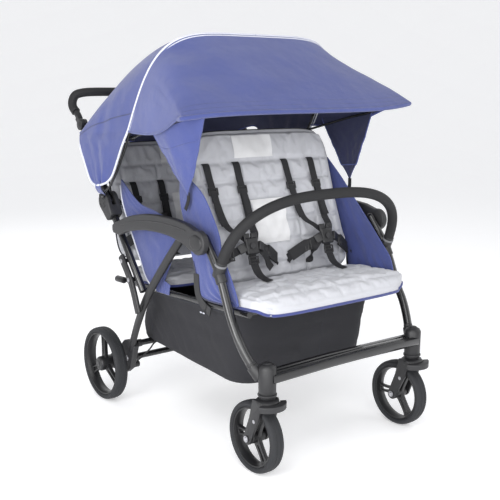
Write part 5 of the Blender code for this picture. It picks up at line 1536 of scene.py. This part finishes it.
def harness(row, side):
    """One child's harness: shoulder, lap and crotch webbing, its slides and its buckle."""
    node = f"harness_{row}_{side_name(side)}"
    y, z, tall = FRONT_BACK if row == "front" else REAR_BACK
    base = at(0.0, y, z)
    outward = -INWARD
    x = side * SEAT_SPACING

    def on_back(across, height, lift):
        soft = crown((across / BACK_HALF_WIDTH + 1) / 2, height / tall)
        return base + LEAN * height + outward * (lift - 0.006 * (1 - soft)) + Vector((across, 0, 0))

    buckle = on_back(x, 0.085, 0.055)
    shoulder = 0.337 if row == "front" else 0.238
    shift = -0.018 if row == "front" else 0.0
    webs, fittings = [], []
    for way in (-1, 1):
        spread = x + shift + way * 0.053
        knots = [
            on_back(spread, shoulder + 0.006, -0.002),
            on_back(spread, shoulder - 0.004, 0.0045),
            on_back(spread - way * 0.001, shoulder * 0.86, 0.0085),
            on_back(x + shift * 0.7 + way * 0.050, shoulder * 0.66, 0.0120),
            on_back(x + shift * 0.4 + way * 0.043, shoulder * 0.46, 0.0210),
            on_back(x + way * 0.029, 0.124, 0.0400),
            on_back(x + way * 0.013, 0.102, 0.0520),
        ]
        path = spline(knots, 6)
        webs.append(
            strap_shape(
                path,
                STRAP_WIDE,
                STRAP_THICK,
                lambda share,
                w=way: (1.0, -0.10 * w * share, 0.12 * w * share),
            )
        )
        place = path[15] + outward * 0.0012
        up = (path[13] - path[17]).normalized()
        fittings.append(strap_slide(place, RIGHT, up, 0.024))
        tail = [
            p + outward * (0.0026 + 0.0010 * math.sin(k * 0.8)) + RIGHT * (0.0008 * k * way)
            for k, p in enumerate(path[15:25])
        ]
        webs.append(strap_shape(tail, 0.0225, 0.0016))
        fittings.append(
            moulded_box(
                on_back(x + way * 0.0135, 0.110, 0.0545),
                RIGHT,
                LEAN,
                (0.021, 0.026, 0.0085), 0.0025, 0.0012,
            )
        )
    lap_out = 0.118
    for way in (-1, 1):
        knots = [
            on_back(x + way * (lap_out + 0.004), 0.030, -0.002),
            on_back(x + way * lap_out, 0.042, 0.010),
            on_back(x + way * 0.088, 0.058, 0.026),
            on_back(x + way * 0.052, 0.075, 0.045),
            on_back(x + way * 0.018, 0.083, 0.056),
        ]
        webs.append(
            strap_shape(
                spline(knots, 6), 0.0240, 0.0018, lambda share: tuple(LEAN + outward * 0.35 * share)
            )
        )
        sleeve = [knots[1], knots[2], knots[2].lerp(knots[3], 0.62)]
        sleeve = [point + outward * 0.0006 for point in spline(sleeve, 8)]
        webs.append(
            strap_shape(sleeve, 0.0340, 0.0070, lambda share: tuple(LEAN + outward * 0.3 * share))
        )
        clip = on_back(x + way * 0.034, 0.081, 0.0545)
        run = (on_back(x + way * 0.052, 0.074, 0.046) - clip).normalized()
        fittings.append(moulded_box(clip, run, LEAN, (0.024, 0.027, 0.0100), 0.0028, 0.0014))
        slide = on_back(x + way * 0.066, 0.0665, 0.0385)
        fittings.append(strap_slide(slide, LEAN, run, 0.024))
    floor = rail_height(0.15) + RAIL_TUBE + PAD_THICKNESS
    crotch = [
        buckle - LEAN * 0.012 + outward * 0.001,
        Vector((x, buckle.y - 0.005, buckle.z - 0.034)),
        Vector((x + 0.003, buckle.y - 0.026, floor + 0.022)),
        Vector((x + 0.007, buckle.y - 0.048, floor + 0.008)),
        Vector((x + 0.012, buckle.y - 0.072, floor + 0.0035)),
    ]
    webs.append(strap_shape(spline(crotch, 7), 0.0265, 0.0018))
    below = Vector((x + 0.001, buckle.y - 0.010, buckle.z - 0.040))
    fittings.append(strap_slide(below, RIGHT, Vector((0.0, 0.25, 1.0)), 0.026))
    loose = [
        on_back(x + 0.030, 0.076, 0.052),
        on_back(x + 0.052, 0.052, 0.046),
        on_back(x + 0.062, 0.030, 0.040),
        on_back(x + 0.074, 0.014, 0.038),
    ]
    if side > 0:
        loose = [Vector((2 * x - p.x, p.y, p.z)) for p in loose]
    webs.append(
        strap_shape(
            spline(loose, 7),
            STRAP_WIDE,
            STRAP_THICK,
            lambda share: tuple(LEAN * (1 - share * 0.5) + RIGHT * 0.4),
        )
    )
    fittings.append(moulded_box(buckle, RIGHT, LEAN, (0.044, 0.0485, 0.0140), 0.0052, 0.0016))
    body = body_of[node]
    finished(as_one(webs), node + "_webbing", WEBBING, body, [node], 50)
    finished(as_one(fittings), node + "_fittings", SATIN_BLACK, body, (), 40)
    refined(f"buckle_button_{row}_{side_name(side)}", DARK_PLASTIC, 0.0006)


# Side cloths

SIDE_CLOTH = 0.0018


def edge_sheet(first, second, columns, rows, wave, name):
    """Cloth between two edges, each a smooth curve through its (x, y, z) knots."""
    start = spline([at(*p) for p in first], 12)
    end = spline([at(*p) for p in second], 12)

    def place(a, b):
        here = pick(start, a).lerp(pick(end, a), b)
        here.x += wave(a, b)
        return here

    length = sum((q - p).length for p, q in zip(start, start[1:]))
    wide = (pick(start, 0.5) - pick(end, 0.5)).length
    return cloth_grid(place, columns, rows, (length, wide), name), place


def side_cloths(side):
    """The blue cloths beside the seats: a front wing, a strip along the rail and a rear wing."""
    name = side_name(side)
    body = body_of[f"side_panel_{name}"]
    x = side * (RAIL_X + RAIL_TUBE + 0.0015)

    def front_wave(a, b):
        belly = math.sin(math.pi * b) * math.sin(math.pi * min(1.0, a * 1.1))
        gather = (1 - ease(a, 0.05, 0.42)) * math.sin(math.pi * b)
        folds = 0.0024 * math.sin(b * 34.0 + 3.0 * a) * gather
        return side * (
            0.0045 * belly + folds + wrinkle((a * 0.5, b * 0.35, 4.0 + side), 16.0, 0.0034) * belly
        )

    lower = [
        (x, 0.066, 0.446), (x, 0.232, 0.444), (x, 0.262, 0.520), (x, 0.297, 0.600),
        (x, 0.334, 0.700), (side * 0.284, 0.352, 0.792),
    ]
    edge_knots = {
        -1: [
            (0.064, 0.478), (0.092, 0.527), (0.131, 0.583), (0.141, 0.627), (0.174, 0.681),
            (0.219, 0.734), (0.277, 0.768),
        ],
        1: [
            (0.060, 0.478), (0.074, 0.512), (0.110, 0.550), (0.150, 0.592), (0.192, 0.634),
            (0.236, 0.678), (0.296, 0.738),
        ],
    }
    upper = [(x, 0.056, 0.452)] + [(x + side * 0.001, py, pz) for py, pz in edge_knots[side]] + [
        (side * 0.284, 0.352, 0.800)
    ]
    wing, spot = edge_sheet(lower, upper, 70, 34, front_wave, "wing")
    thickened(wing, SIDE_CLOTH)
    finished(wing, f"front_wing_{name}", CANVAS, body, [f"side_panel_{name}"], 60)
    hem = [spot(k / 60, 1.0) for k in range(61)]
    trim(hem, 0.0026, 3, f"front_wing_hem_{name}", CANVAS, body)
    gather = [spot(k / 40 * 0.45, 0.02) + Vector((side * 0.001, 0, 0)) for k in range(41)]
    trim(gather, 0.0022, 3, f"front_wing_elastic_{name}", SHADED_CANVAS, body)

    def strip_wave(a, b):
        return side * (0.0012 * math.sin(a * 46.0) * b + wrinkle((a, b, 9.0), 9.0, 0.0016))

    strip, _ = edge_sheet(
        [(x, 0.405, 0.4130), (x, 0.44, 0.4120), (x, 0.478, 0.4105)],
        [(x, 0.398, 0.446), (x, 0.44, 0.454), (x, 0.478, 0.452)],
        24, 8,
        strip_wave,
        "strip",
    )
    thickened(strip, SIDE_CLOTH)
    finished(strip, f"seat_side_strip_{name}", CANVAS, body, (), 60)

    def rear_wave(a, b):
        belly = math.sin(math.pi * b) * math.sin(math.pi * a)
        return side * (
            0.0050 * belly + wrinkle((a * 0.6, b * 0.4, 6.0 + side), 14.0, 0.0040) * belly
        )

    ahead = [
        (x, 0.436, 0.448), (x, 0.390, 0.520), (x, 0.354, 0.588), (x, 0.372, 0.632),
        (x, 0.470, 0.656), (x, 0.575, 0.674), (side * 0.290, 0.690, 0.734),
    ]
    behind = [
        (x, 0.480, 0.415), (x, 0.535, 0.440), (x, 0.573, 0.498), (x, 0.612, 0.558),
        (x, 0.645, 0.610), (x, 0.676, 0.668), (side * 0.288, 0.700, 0.716),
    ]
    wing, spot = edge_sheet(ahead, behind, 70, 34, rear_wave, "rear wing")
    thickened(wing, SIDE_CLOTH)
    finished(wing, f"rear_wing_{name}", CANVAS, body, (), 60)
    piping = [spot(k / 60, 1.0) + Vector((side * 0.0014, 0, 0)) for k in range(61)]
    trim(piping, 0.0026, 3, f"rear_wing_piping_{name}", PIPING, body)
    hem = [spot(k / 60, 0.0) for k in range(61)]
    trim(hem, 0.0024, 3, f"rear_wing_hem_{name}", CANVAS, body)


# Basket


def basket_ring(half, front, back, share):
    """A place on the basket's rounded outline, for a share from 0 to 1 round it."""
    corners = (
        (half, front, 0.075, -90), (half, back, 0.03, 0), (-half, back, 0.03, 90),
        (-half, front, 0.075, 180),
    )
    line = []
    for cx, cy, size, start in corners:
        mid_x = cx - math.copysign(size, cx)
        mid_y = cy + size if cy == front else cy - size
        for k in range(7):
            turn = math.radians(start + 15 * k)
            line.append(Vector((mid_x + size * math.cos(turn), mid_y + size * math.sin(turn))))
    line.append(line[0])
    lengths = [0.0]
    for first, second in zip(line, line[1:]):
        lengths.append(lengths[-1] + (second - first).length)
    reach = share * lengths[-1]
    for k in range(len(line) - 1):
        if reach <= lengths[k + 1] or k == len(line) - 2:
            part = (reach - lengths[k]) / max(1e-9, lengths[k + 1] - lengths[k])
            return line[k].lerp(line[k + 1], min(1.0, part))
    return line[-1]


def folding(piece):
    """Gives a piece of the bag its own copy of its mesh."""
    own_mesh(piece)


def basket():
    """The open cloth bag under the seats, hanging from the rails and sagging at its floor."""
    bottom = 0.205
    # Its sections from the floor up: half the width, the front, the back and the height
    levels = [
        (0.150, 0.200, 0.540, bottom + 0.0020), (0.205, 0.160, 0.615, bottom - 0.0010),
        (0.232, 0.130, 0.646, bottom + 0.0000), (0.241, 0.121, 0.656, bottom + 0.0045),
        (0.245, 0.114, 0.659, bottom + 0.0150), (0.250, 0.108, 0.650, 0.268),
        (0.252, 0.100, 0.632, 0.330), (0.265, 0.092, 0.610, 0.380), (0.289, 0.078, 0.587, 0.410),
    ]

    def place(a, b):
        spot = b * (len(levels) - 1)
        index = min(int(spot), len(levels) - 2)
        part = spot - index
        half, front, back, height = (
            low + (high - low) * part for low, high in zip(levels[index], levels[index + 1])
        )
        p = basket_ring(half, front, back, a)
        if b < 0.7:
            height += (0.045 * (p.y - 0.35) - 0.004) * (1 - ease(b, 0.45, 0.7))
        if b > 0.8:
            top = rail_height(p.y) - RAIL_TUBE - 0.0012
            height = height + (top - height) * ease(b, 0.8, 1.0)
        middle = Vector((0.0, 0.33))
        out = (p - middle).normalized()
        swell = math.sin(math.pi * ease(b, 0.35, 1.0)) * 0.004
        folds = 0.0024 * math.sin(a * 2 * math.pi * 22) * ease(b, 0.72, 1.0) * (
            1 - ease(b, 0.9, 1.0)
        )
        taut = math.sin(math.pi * ease(b, 0.3, 1.0))
        dents = wrinkle((p.x, p.y, height * 2), 9.0, 0.0075) * taut
        dents += wrinkle((p.x * 0.5, (p.y - height * 0.7) * 1.6, 3.0), 24.0, 0.0050) * taut
        p = p + out * (swell * 0.4 - 0.002 + folds + dents)
        return at(p.x, p.y, height + (wrinkle((p.x, p.y, 5.0), 7.0, 0.004) if b < 0.3 else 0.0))

    def joined_place(a, b):
        """The same place, with the bag's outline closed on itself."""
        return place(a % 1.0, b)

    made = cloth_grid(joined_place, 220, 56, (1.75, 0.42), "bag")
    opened(made, 0.0001)
    bpy.ops.mesh.select_all(action="DESELECT")
    bm = bmesh.from_edit_mesh(made.data)
    for edge in bm.edges:
        rim = edge.is_boundary and all(vert.co.z < bottom + 0.02 for vert in edge.verts)
        edge.select_set(rim)
    bmesh.update_edit_mesh(made.data)
    bpy.ops.mesh.fill_grid(span=40)
    bpy.ops.object.mode_set(mode="OBJECT")
    thickened(made, 0.0022)
    body = body_of["basket"]
    finished(made, "basket_cloth", MESH_CLOTH, body, ["basket"], 60)
    pieces = [made]
    rim = [joined_place(k / 200, 1.0) + Vector((0, 0, 0.0005)) for k in range(200)]
    pieces.append(trim(rim, 0.0034, 3, "basket_binding", BINDING, body, True))
    for k, share in enumerate((0.065, 0.435, 0.565, 0.935)):
        seam = [joined_place(share, 0.36 + 0.64 * j / 30) for j in range(31)]
        pieces.append(trim(seam, 0.0018, 3, f"basket_seam_{k}", BINDING, body))
    for word, level, radius in (("top", 0.885, 0.0016), ("floor", 0.46, 0.0014)):
        band = [joined_place(k / 200, level) for k in range(200)]
        pieces.append(trim(band, radius, 3, f"basket_{word}_seam", BINDING, body, True))
    for piece in pieces:
        folding(piece)
    for side in (-1, 1):
        name = side_name(side)
        x = side * 0.2975
        bracket = [
            (x, 0.252, 0.507), (x, 0.250, 0.468), (x, 0.240, 0.440), (x, 0.212, 0.418),
            (x, 0.184, 0.409),
        ]
        plate_shape = strap_shape(spline([at(*p) for p in bracket], 6), 0.026, 0.0040, (0, 1, 0.35))
        finished(plate_shape, f"rail_bracket_{name}", SATIN_BLACK, body, (), 50)
        ends = [at(side * RAIL_X, y, rail_height(y)) for y in (RAIL_BACK, RAIL_BACK + 0.048)]
        rail_end = rod(*ends, 0.0105, 0.002)
        finished(rail_end, f"rail_end_{name}", SATIN_BLACK, body)
        share = 0.30 if side > 0 else 0.70
        tag = joined_place(share, 0.86)
        ahead, up = Vector((0, 1, 0)), Vector((0, 0, 1))
        places = [tag + Vector((side * 0.002, offset, 0.0)) for offset in (-0.008, 0.006)]
        marks = [moulded_box(place, ahead, up, (0.009, 0.004, 0.0012), 0.0004) for place in places]
        patch = finished(as_one(marks), f"basket_mark_{name}", PIPING, body, (), 40)
        folding(patch)


# Canopy


# The ears' front and rear edges from the bow down, and where along the rear edge an ear starts
EAR_FRONT = [(0.3665, 0.535, 0.858), (0.369, 0.585, 0.780), (0.371, 0.619, 0.734)]
EAR_BACK = [
    (0.000, 0.872, 0.838), (0.130, 0.870, 0.841), (0.250, 0.860, 0.858), (0.345, 0.834, 0.884),
    (0.366, 0.818, 0.860), (0.370, 0.772, 0.792), (0.372, 0.722, 0.718),
]
EAR_START = 0.66
MID_BOW_TOP = (0.373, 1.172)
MID_BOW_SPLIT = 0.933
FRONT_BAR = (0.418, 0.105, 0.957)
BOW_BAR = 0.004
CLOTH_LIFT = 0.0062

# The front bar's pivot on the middle bow, and the share of the front edge where the bar turns back
VISOR = (0.530, 0.876)
VISOR_X = 0.3360
BAR_CORNER = 0.58


def mid_bow_point(share):
    """A place on the middle bow, for a share of -1 (left pivot) to 1 (right pivot)."""
    foot = Vector(CANOPY_PIVOT)
    top = Vector(MID_BOW_TOP)
    turn = math.pi / 2 * (1 - abs(share))
    power = 2 / 5.4
    across = math.copysign(CANOPY_SIDE_X * math.cos(turn) ** power, share)
    height = math.sin(turn) ** power
    place = foot + (top - foot) * height
    ahead = 0.045 * math.sin(math.pi * height**0.6)
    return at(across, place.x - ahead, place.y)


def over_bow(share, ahead, lift=CLOTH_LIFT):
    """A place of the cloth over the middle bow, a little ahead of its middle line or behind."""
    here = mid_bow_point(share)
    run = (mid_bow_point(share + 0.004) - mid_bow_point(share - 0.004)).normalized()
    lean = (at(0.0, *MID_BOW_TOP) - at(0.0, *CANOPY_PIVOT)).normalized()
    front = RIGHT.cross(lean)
    outward = front.cross(run).normalized()
    outward *= math.copysign(1.0, outward.z + abs(share) * outward.x * math.copysign(1.0, share))
    return here + outward * lift - front * ahead * math.copysign(1.0, front.y)


def between(values, share):
    """The place at a share from 0 to 1 along a smooth curve through the values."""
    return pick(spline(values, 12), share)


def front_edge(share, lift=0.0):
    """A place on the front bar for a share from -1 to 1; the ends turn back along its arms."""
    reach = min(1.0, abs(share) / BAR_CORNER)
    back = max(0.0, abs(share) - BAR_CORNER) / 0.42
    round_corner = 0.28 if share < 0 else 0.05
    past = abs(share) / BAR_CORNER - 1 + round_corner
    if 0 < past < 2 * round_corner:
        softened = past**2 / (4 * round_corner)
        reach = abs(share) / BAR_CORNER - softened
        back = softened * BAR_CORNER / 0.42
    across = math.copysign(FRONT_BAR[0] * reach, share) * (1 - 0.03 * back)
    y = FRONT_BAR[1] + 0.016 * reach**5 + 0.042 * back
    tilt = 0.016 if share > 0 else -0.012
    return at(across, y, FRONT_BAR[2] + 0.002 + tilt * reach**4 - 0.004 * back + lift)


def front_cover_place(a, b):
    """The front cover, from the middle bow (b 0) to the front bar (b 1)."""
    share = 2 * a - 1
    back = over_bow(share * MID_BOW_SPLIT, 0.0)
    place = back.lerp(front_edge(share, 0.0064), b)
    taut = math.sin(math.pi * b)
    place.z += 0.010 * taut * (1 - abs(share) ** 3) + 0.010 * taut * math.exp(
        -(((abs(share) - 0.55) / 0.16) ** 2)
    )
    place.z -= 0.026 * taut * ease(abs(share), 0.88, 1.0)
    place.z += wrinkle((a * 1.2, b * 0.5, 8.0), 7.0, 0.0075) * taut
    radiating = math.sin(share * 55.0 + 2.0 * b) * ease(abs(share), 0.55, 0.75) * (
        1 - ease(abs(share), 0.9, 1.0)
    )
    place.z += 0.0028 * radiating * taut
    return place


def rear_cover_place(a, b):
    """The rear cover: over the top behind the middle bow, and down both sides as ears."""
    column = abs(2 * a - 1) * 11
    way = math.copysign(1.0, 2 * a - 1)
    down = max(0.0, column - 7) / 4
    if down > 0.70:
        tip = (down - 0.70) / 0.30
        b = 0.5 + (b - 0.5) * (1 - 0.62 * (1 - math.sqrt(max(0.0, 1 - tip**3))))
    if column <= 7:
        side = EAR_START * column / 7
        front = over_bow(way * column / 7 * MID_BOW_SPLIT, 0.0)
    else:
        side = EAR_START + (1 - EAR_START) * down
        last = over_bow(MID_BOW_SPLIT, 0.0)
        front = between([tuple(last)] + [tuple(at(*p)) for p in EAR_FRONT], down)
        front.x *= way
    back = between([tuple(at(*p)) for p in EAR_BACK], side)
    back.x *= way
    turn = b * math.pi / 2
    swept = Vector(
        (
            front.x + (back.x - front.x) * b,
            front.y + (back.y - front.y) * math.sin(turn),
            front.z + (back.z - front.z) * (1 - math.cos(turn)),
        )
    )
    ear = min(max((side - EAR_START + 0.06) / 0.16, 0.0), 1.0)
    straight = front.lerp(back, b)
    place = swept.lerp(straight, max(ear, 0.12 + 0.55 * ease(side, 0.15, EAR_START)))
    place.x += way * 0.008 * math.sin(math.pi * b) * side**2
    place.x += way * 0.006 * ease(b, 0.72, 1.0) * ear
    taut = math.sin(math.pi * b)
    place.z += wrinkle((a * 1.4, b * 0.6, 5.0), 6.5, 0.0080) * taut * (1 - ear)
    place.x += way * wrinkle((a * 1.6, b * 0.9, 2.0), 8.0, 0.0065) * taut * ease(side, 0.3, 0.7)
    return place


def flap_place(side):
    """The cloth that hangs from one side of the front cover, down to a rounded point."""

    def place(a, b):
        reach = 0.40 + 0.60 * a if side < 0 else 0.12 + 0.60 * a
        top = front_cover_place(0.5 + side * 0.488, reach) - Vector((side * 0.004, 0, 0.002))
        if side < 0:
            top = top.lerp(at(-0.362, 0.110, 0.951), ease(a, 0.45, 1.0))
        tip = at(side * 0.310, 0.270 + 0.012 * (0.5 - a), 0.727)
        narrow = 1 - 0.25 * abs(2 * a - 1) ** 1.5 * b
        here = top.lerp(tip, b * narrow)
        here.x += side * (0.006 * math.sin(math.pi * a) * math.sin(math.pi * b))
        here.x += wrinkle((a * 0.5, b * 0.5, 7.0 * side), 15.0, 0.0034) * math.sin(math.pi * b)
        return here

    return place


def pin(x, place, radius):
    """The round end of a bow on its pivot."""
    way = math.copysign(0.0036, x)
    return rod(at(x - way, *place), at(x + way, *place), radius, 0.001)


def canopy():
    """The cover on its bows: the rear with its ears, the front, its flaps and the trims."""
    middle = body_of["canopy_mid_bow"]
    front_body = body_of["canopy_front_bow"]
    line = [mid_bow_point(math.sin(math.pi / 2 * k / 60)) for k in range(-60, 61)]
    hoop = [tube(line, BOW_BAR, fineness=5)]
    for side in (-1, 1):
        hoop.append(pin(side * CANOPY_SIDE_X, CANOPY_PIVOT, 0.0085))
        hoop.append(rod(at(side * 0.3495, *VISOR), at(side * 0.3260, *VISOR), 0.0030, 0.0006))
    finished(as_one(hoop), "canopy_middle_hoop", GLOSS_BLACK, middle, ["canopy_mid_bow"])
    arms = []
    for side in (-1, 1):
        inside = Vector((-side * 0.012, 0.0, 0.001))
        arm = [at(side * VISOR_X, *VISOR)]
        arm += [front_cover_place(0.5 + side * 0.488, b) + inside for b in (0.50, 0.68, 0.85)]
        arm += [
            front_edge(side * 0.85) + inside,
            front_edge(side * 0.62) + inside / 2,
            front_edge(side * 0.54),
        ]
        arms.append(
            spline(arm, 8)
            + [front_edge(side * (0.54 - 0.54 * k / 20)) for k in range(1, 20 + (side < 0))]
        )
    hoop = [tube(arms[0] + arms[1][::-1], BOW_BAR, fineness=5)]
    for side in (-1, 1):
        hoop.append(pin(side * VISOR_X, VISOR, 0.0080))
    finished(as_one(hoop), "canopy_front_hoop", GLOSS_BLACK, front_body, ["canopy_front_bow"])

    def over_rear(piece):
        at(0, 0.52, 1.08)
        at(0, 0.80, 0.90)
        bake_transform(piece)

    def over_front(piece):
        at(0, 0.335, 1.10)
        at(0, 0.130, 0.98)
        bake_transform(piece)

    # The covers' inner faces are on the darker canvas: painted shade under the canopy.
    rear = thickened(cloth_grid(rear_cover_place, 132, 44, (1.62, 0.56), "rear"), 0.0020, -0.2, 1)
    finished(rear, "canopy_rear_cover", [CANVAS, SHADED_CANVAS], None, ["canopy_rear_sheet"], 70)
    over_rear(rear)
    front = thickened(
        cloth_grid(front_cover_place, 110, 36, (0.86, 0.36), "front"), 0.0020, -0.2, 1
    )
    finished(front, "canopy_front_cover", [SHADED_CANVAS, CANVAS], None, ["canopy_front_sheet"], 70)
    over_front(front)

    for side in (-1, 1):
        name = side_name(side)
        place = flap_place(side)
        # Each flap's inner face is on the darker canvas: painted shade.
        flap = thickened(cloth_grid(place, 30, 34, (0.20, 0.24), "flap"), 0.0020, 0.0, 1)
        finished(flap, f"canopy_flap_{name}", [CANVAS, SHADED_CANVAS][::side], None, (), 70)
        over_front(flap)
        rim = [place(0.0, k / 24) for k in range(25)] + [place(1.0, 1 - k / 24) for k in range(25)]
        over_front(trim(rim, 0.0022, 3, f"canopy_flap_hem_{name}", CANVAS, None))
        seam = [place(k / 24, 0.30) + Vector((side * 0.0012, 0, 0)) for k in range(25)]
        over_front(trim(seam, 0.0012, 2, f"canopy_flap_seam_{name}", CANVAS, None))
        tip = place(0.5, 1.0)
        tape = [
            tip + Vector((0, 0, 0.010)),
            tip - Vector((0, 0, 0.012)),
            tip + Vector((side * 0.004, 0.010, -0.040)),
        ]
        over_front(
            finished(
                strap_shape(spline(tape, 5), 0.014, 0.0016, (0, 1, 0)),
                f"flap_tape_{name}",
                WEBBING,
                None,
                (),
                50,
            )
        )

        edge = [rear_cover_place(0.5 + side * 0.5 * k / 90, 0.0) for k in range(91)]
        under = [rear_cover_place(0.5 + side * 0.5, k / 16) for k in range(1, 17)]
        behind = [
            rear_cover_place(0.5 + side * 0.5 * (1 - 0.30 * k / 30), 1.0) for k in range(1, 31)
        ]
        path = [
            p + Vector((side * 0.0010, 0, 0.0012 if k < 60 else 0.0))
            for k, p in enumerate(edge + under + behind)
        ]
        over_rear(trim(path, 0.0034, 4, f"canopy_piping_{name}", PIPING, None))
        second = [
            over_bow(side * MID_BOW_SPLIT * k / 70, 0.0094, CLOTH_LIFT + 0.0010) for k in range(71)
        ]
        trim(second, 0.0021, 3, f"canopy_second_piping_{name}", PIPING, middle)
        tab_top = rear_cover_place(0.5 + side * 0.5, 0.75)
        tab = [
            tab_top + Vector((0, 0, 0.012)),
            tab_top - Vector((side * 0.002, 0.002, 0.010)),
            at(side * 0.3495, 0.712, 0.690),
        ]
        over_rear(
            finished(
                strap_shape(spline(tab, 5), 0.030, 0.0018, (0, 1, 0)),
                f"ear_tab_{name}",
                CANVAS,
                None,
                (),
                50,
            )
        )

    hem = [front_edge(k / 60 - 1, 0.0002) for k in range(121)]
    over_front(trim(hem, 0.0068, 5, "canopy_front_hem", CANVAS, None))
    for way in (-1, 1):
        side_hem = [
            front_cover_place(0.5 + way * 0.5, k / 40) - Vector((0, 0, 0.002)) for k in range(41)
        ]
        over_front(trim(side_hem, 0.0034, 4, f"canopy_side_hem_{side_name(way)}", CANVAS, None))
    for k, share in enumerate((0.955, 0.905)):
        row = [
            front_cover_place(0.01 + 0.98 * j / 100, share) + Vector((0, 0, 0.0010))
            for j in range(101)
        ]
        over_front(trim(row, 0.0006, 1, f"canopy_stitching_{k}", SHADED_CANVAS, None))
    for way in (-1, 1):
        panel_seam = [
            rear_cover_place(0.5 + way * 0.5 * (6.6 / 11), k / 40) + Vector(
                (way * 0.0012, 0, 0.0012)
            )
            for k in range(41)
        ]
        over_rear(trim(panel_seam, 0.0009, 2, f"canopy_seam_{side_name(way)}", SHADED_CANVAS, None))
    back_hem = [rear_cover_place(0.22 + 0.56 * k / 80, 1.0) for k in range(81)]
    over_rear(trim(back_hem, 0.0030, 3, "canopy_rear_hem", CANVAS, None))


for side in (-1, 1):
    caster(side)
    front_leg(side)
    rear_leg(side)
    push_side(side)
bumper()
rear_bars()
seat_tubes()
handle()
refined("footrest", GLOSS_BLACK, 0.0012)
cushions()
care_labels()
for row in ("front", "rear"):
    for side in (-1, 1):
        harness(row, side)
for side in (-1, 1):
    side_cloths(side)
basket()
canopy()


# Studio

# The camera as it was solved from the photograph: its place, and its angles down and round
CAMERA_LENS = 60.15
CAMERA_PLACE = (-1.5736, -1.6776, 1.0235)
CAMERA_DOWN = 10.9995
CAMERA_TURN = 37.2229

# Each soft light: its name, place, size and power
LIGHTS = (
    ("key", (-1.8, -2.2, 3.0), 2.2, 40.0),
    ("front", (-1.0, -3.4, 1.1), 2.4, 34.0),
    ("fill", (2.6, -1.6, 2.0), 2.6, 18.0),
    ("side", (-2.7, -0.9, 1.1), 1.4, 42.0),
    ("back", (0.4, 2.8, 2.6), 2.4, 20.0),
    ("low", (-1.9, -1.9, 0.70), 0.8, 13.0),
)


def studio():
    """A pale floor, a camera at the photograph's angle and soft light from all sides."""
    data = bpy.data.cameras.new("camera")
    data.lens = CAMERA_LENS
    data.sensor_width = 36.0
    camera = bpy.data.objects.new("camera", data)
    scene.collection.objects.link(camera)
    camera.location = at(*CAMERA_PLACE)
    camera.rotation_euler = (math.radians(90 - CAMERA_DOWN), 0.0, -math.radians(CAMERA_TURN))
    scene.camera = camera

    clear()
    bpy.ops.mesh.primitive_grid_add(
        x_subdivisions=40, y_subdivisions=40, size=30.0, location=(0, 0, -0.0003)
    )
    floor = bpy.context.object
    for vert in floor.data.vertices:
        far = math.hypot(vert.co.x, vert.co.y)
        vert.co.z += 0.06 * max(0.0, far - 6.0) ** 2
    bpy.ops.object.transform_apply(location=True, rotation=True, scale=True)
    floor.name = "studio_floor"
    pale = Finish("pale_floor", 0.9)
    pale.colour(paint(246, 246, 247))
    pale.shader.inputs["Emission Color"].default_value = (1.0, 1.0, 1.0, 1.0)
    pale.shader.inputs["Emission Strength"].default_value = 0.24
    floor.data.materials.append(pale.material)

    world = bpy.data.worlds.new("studio")
    scene.world = world
    world.use_nodes = True
    tree = world.node_tree
    background = tree.nodes["Background"]
    background.inputs["Color"].default_value = (0.97, 0.98, 1.0, 1.0)
    background.inputs["Strength"].default_value = 0.62
    bright = tree.nodes.new("ShaderNodeBackground")
    bright.inputs["Color"].default_value = (1.0, 1.0, 1.0, 1.0)
    bright.inputs["Strength"].default_value = 1.0
    rays = tree.nodes.new("ShaderNodeLightPath")
    mix = tree.nodes.new("ShaderNodeMixShader")
    seen = tree.nodes.new("ShaderNodeMath")
    seen.operation = "MAXIMUM"
    tree.links.new(rays.outputs["Is Camera Ray"], seen.inputs[0])
    tree.links.new(rays.outputs["Is Transmission Ray"], seen.inputs[1])
    tree.links.new(seen.outputs[0], mix.inputs[0])
    tree.links.new(background.outputs[0], mix.inputs[1])
    tree.links.new(bright.outputs[0], mix.inputs[2])
    tree.links.new(mix.outputs[0], tree.nodes["World Output"].inputs["Surface"])

    for name, place, size, power in LIGHTS:
        light = bpy.data.lights.new(name, "AREA")
        light.size = size
        light.energy = power
        lamp = bpy.data.objects.new(name, light)
        scene.collection.objects.link(lamp)
        lamp.location = place
        lamp.rotation_euler = (
            (Vector((0, 0, 0.5)) - Vector(place)).to_track_quat("-Z", "Y").to_euler()
        )


studio()
scene.view_settings.view_transform = "Standard"
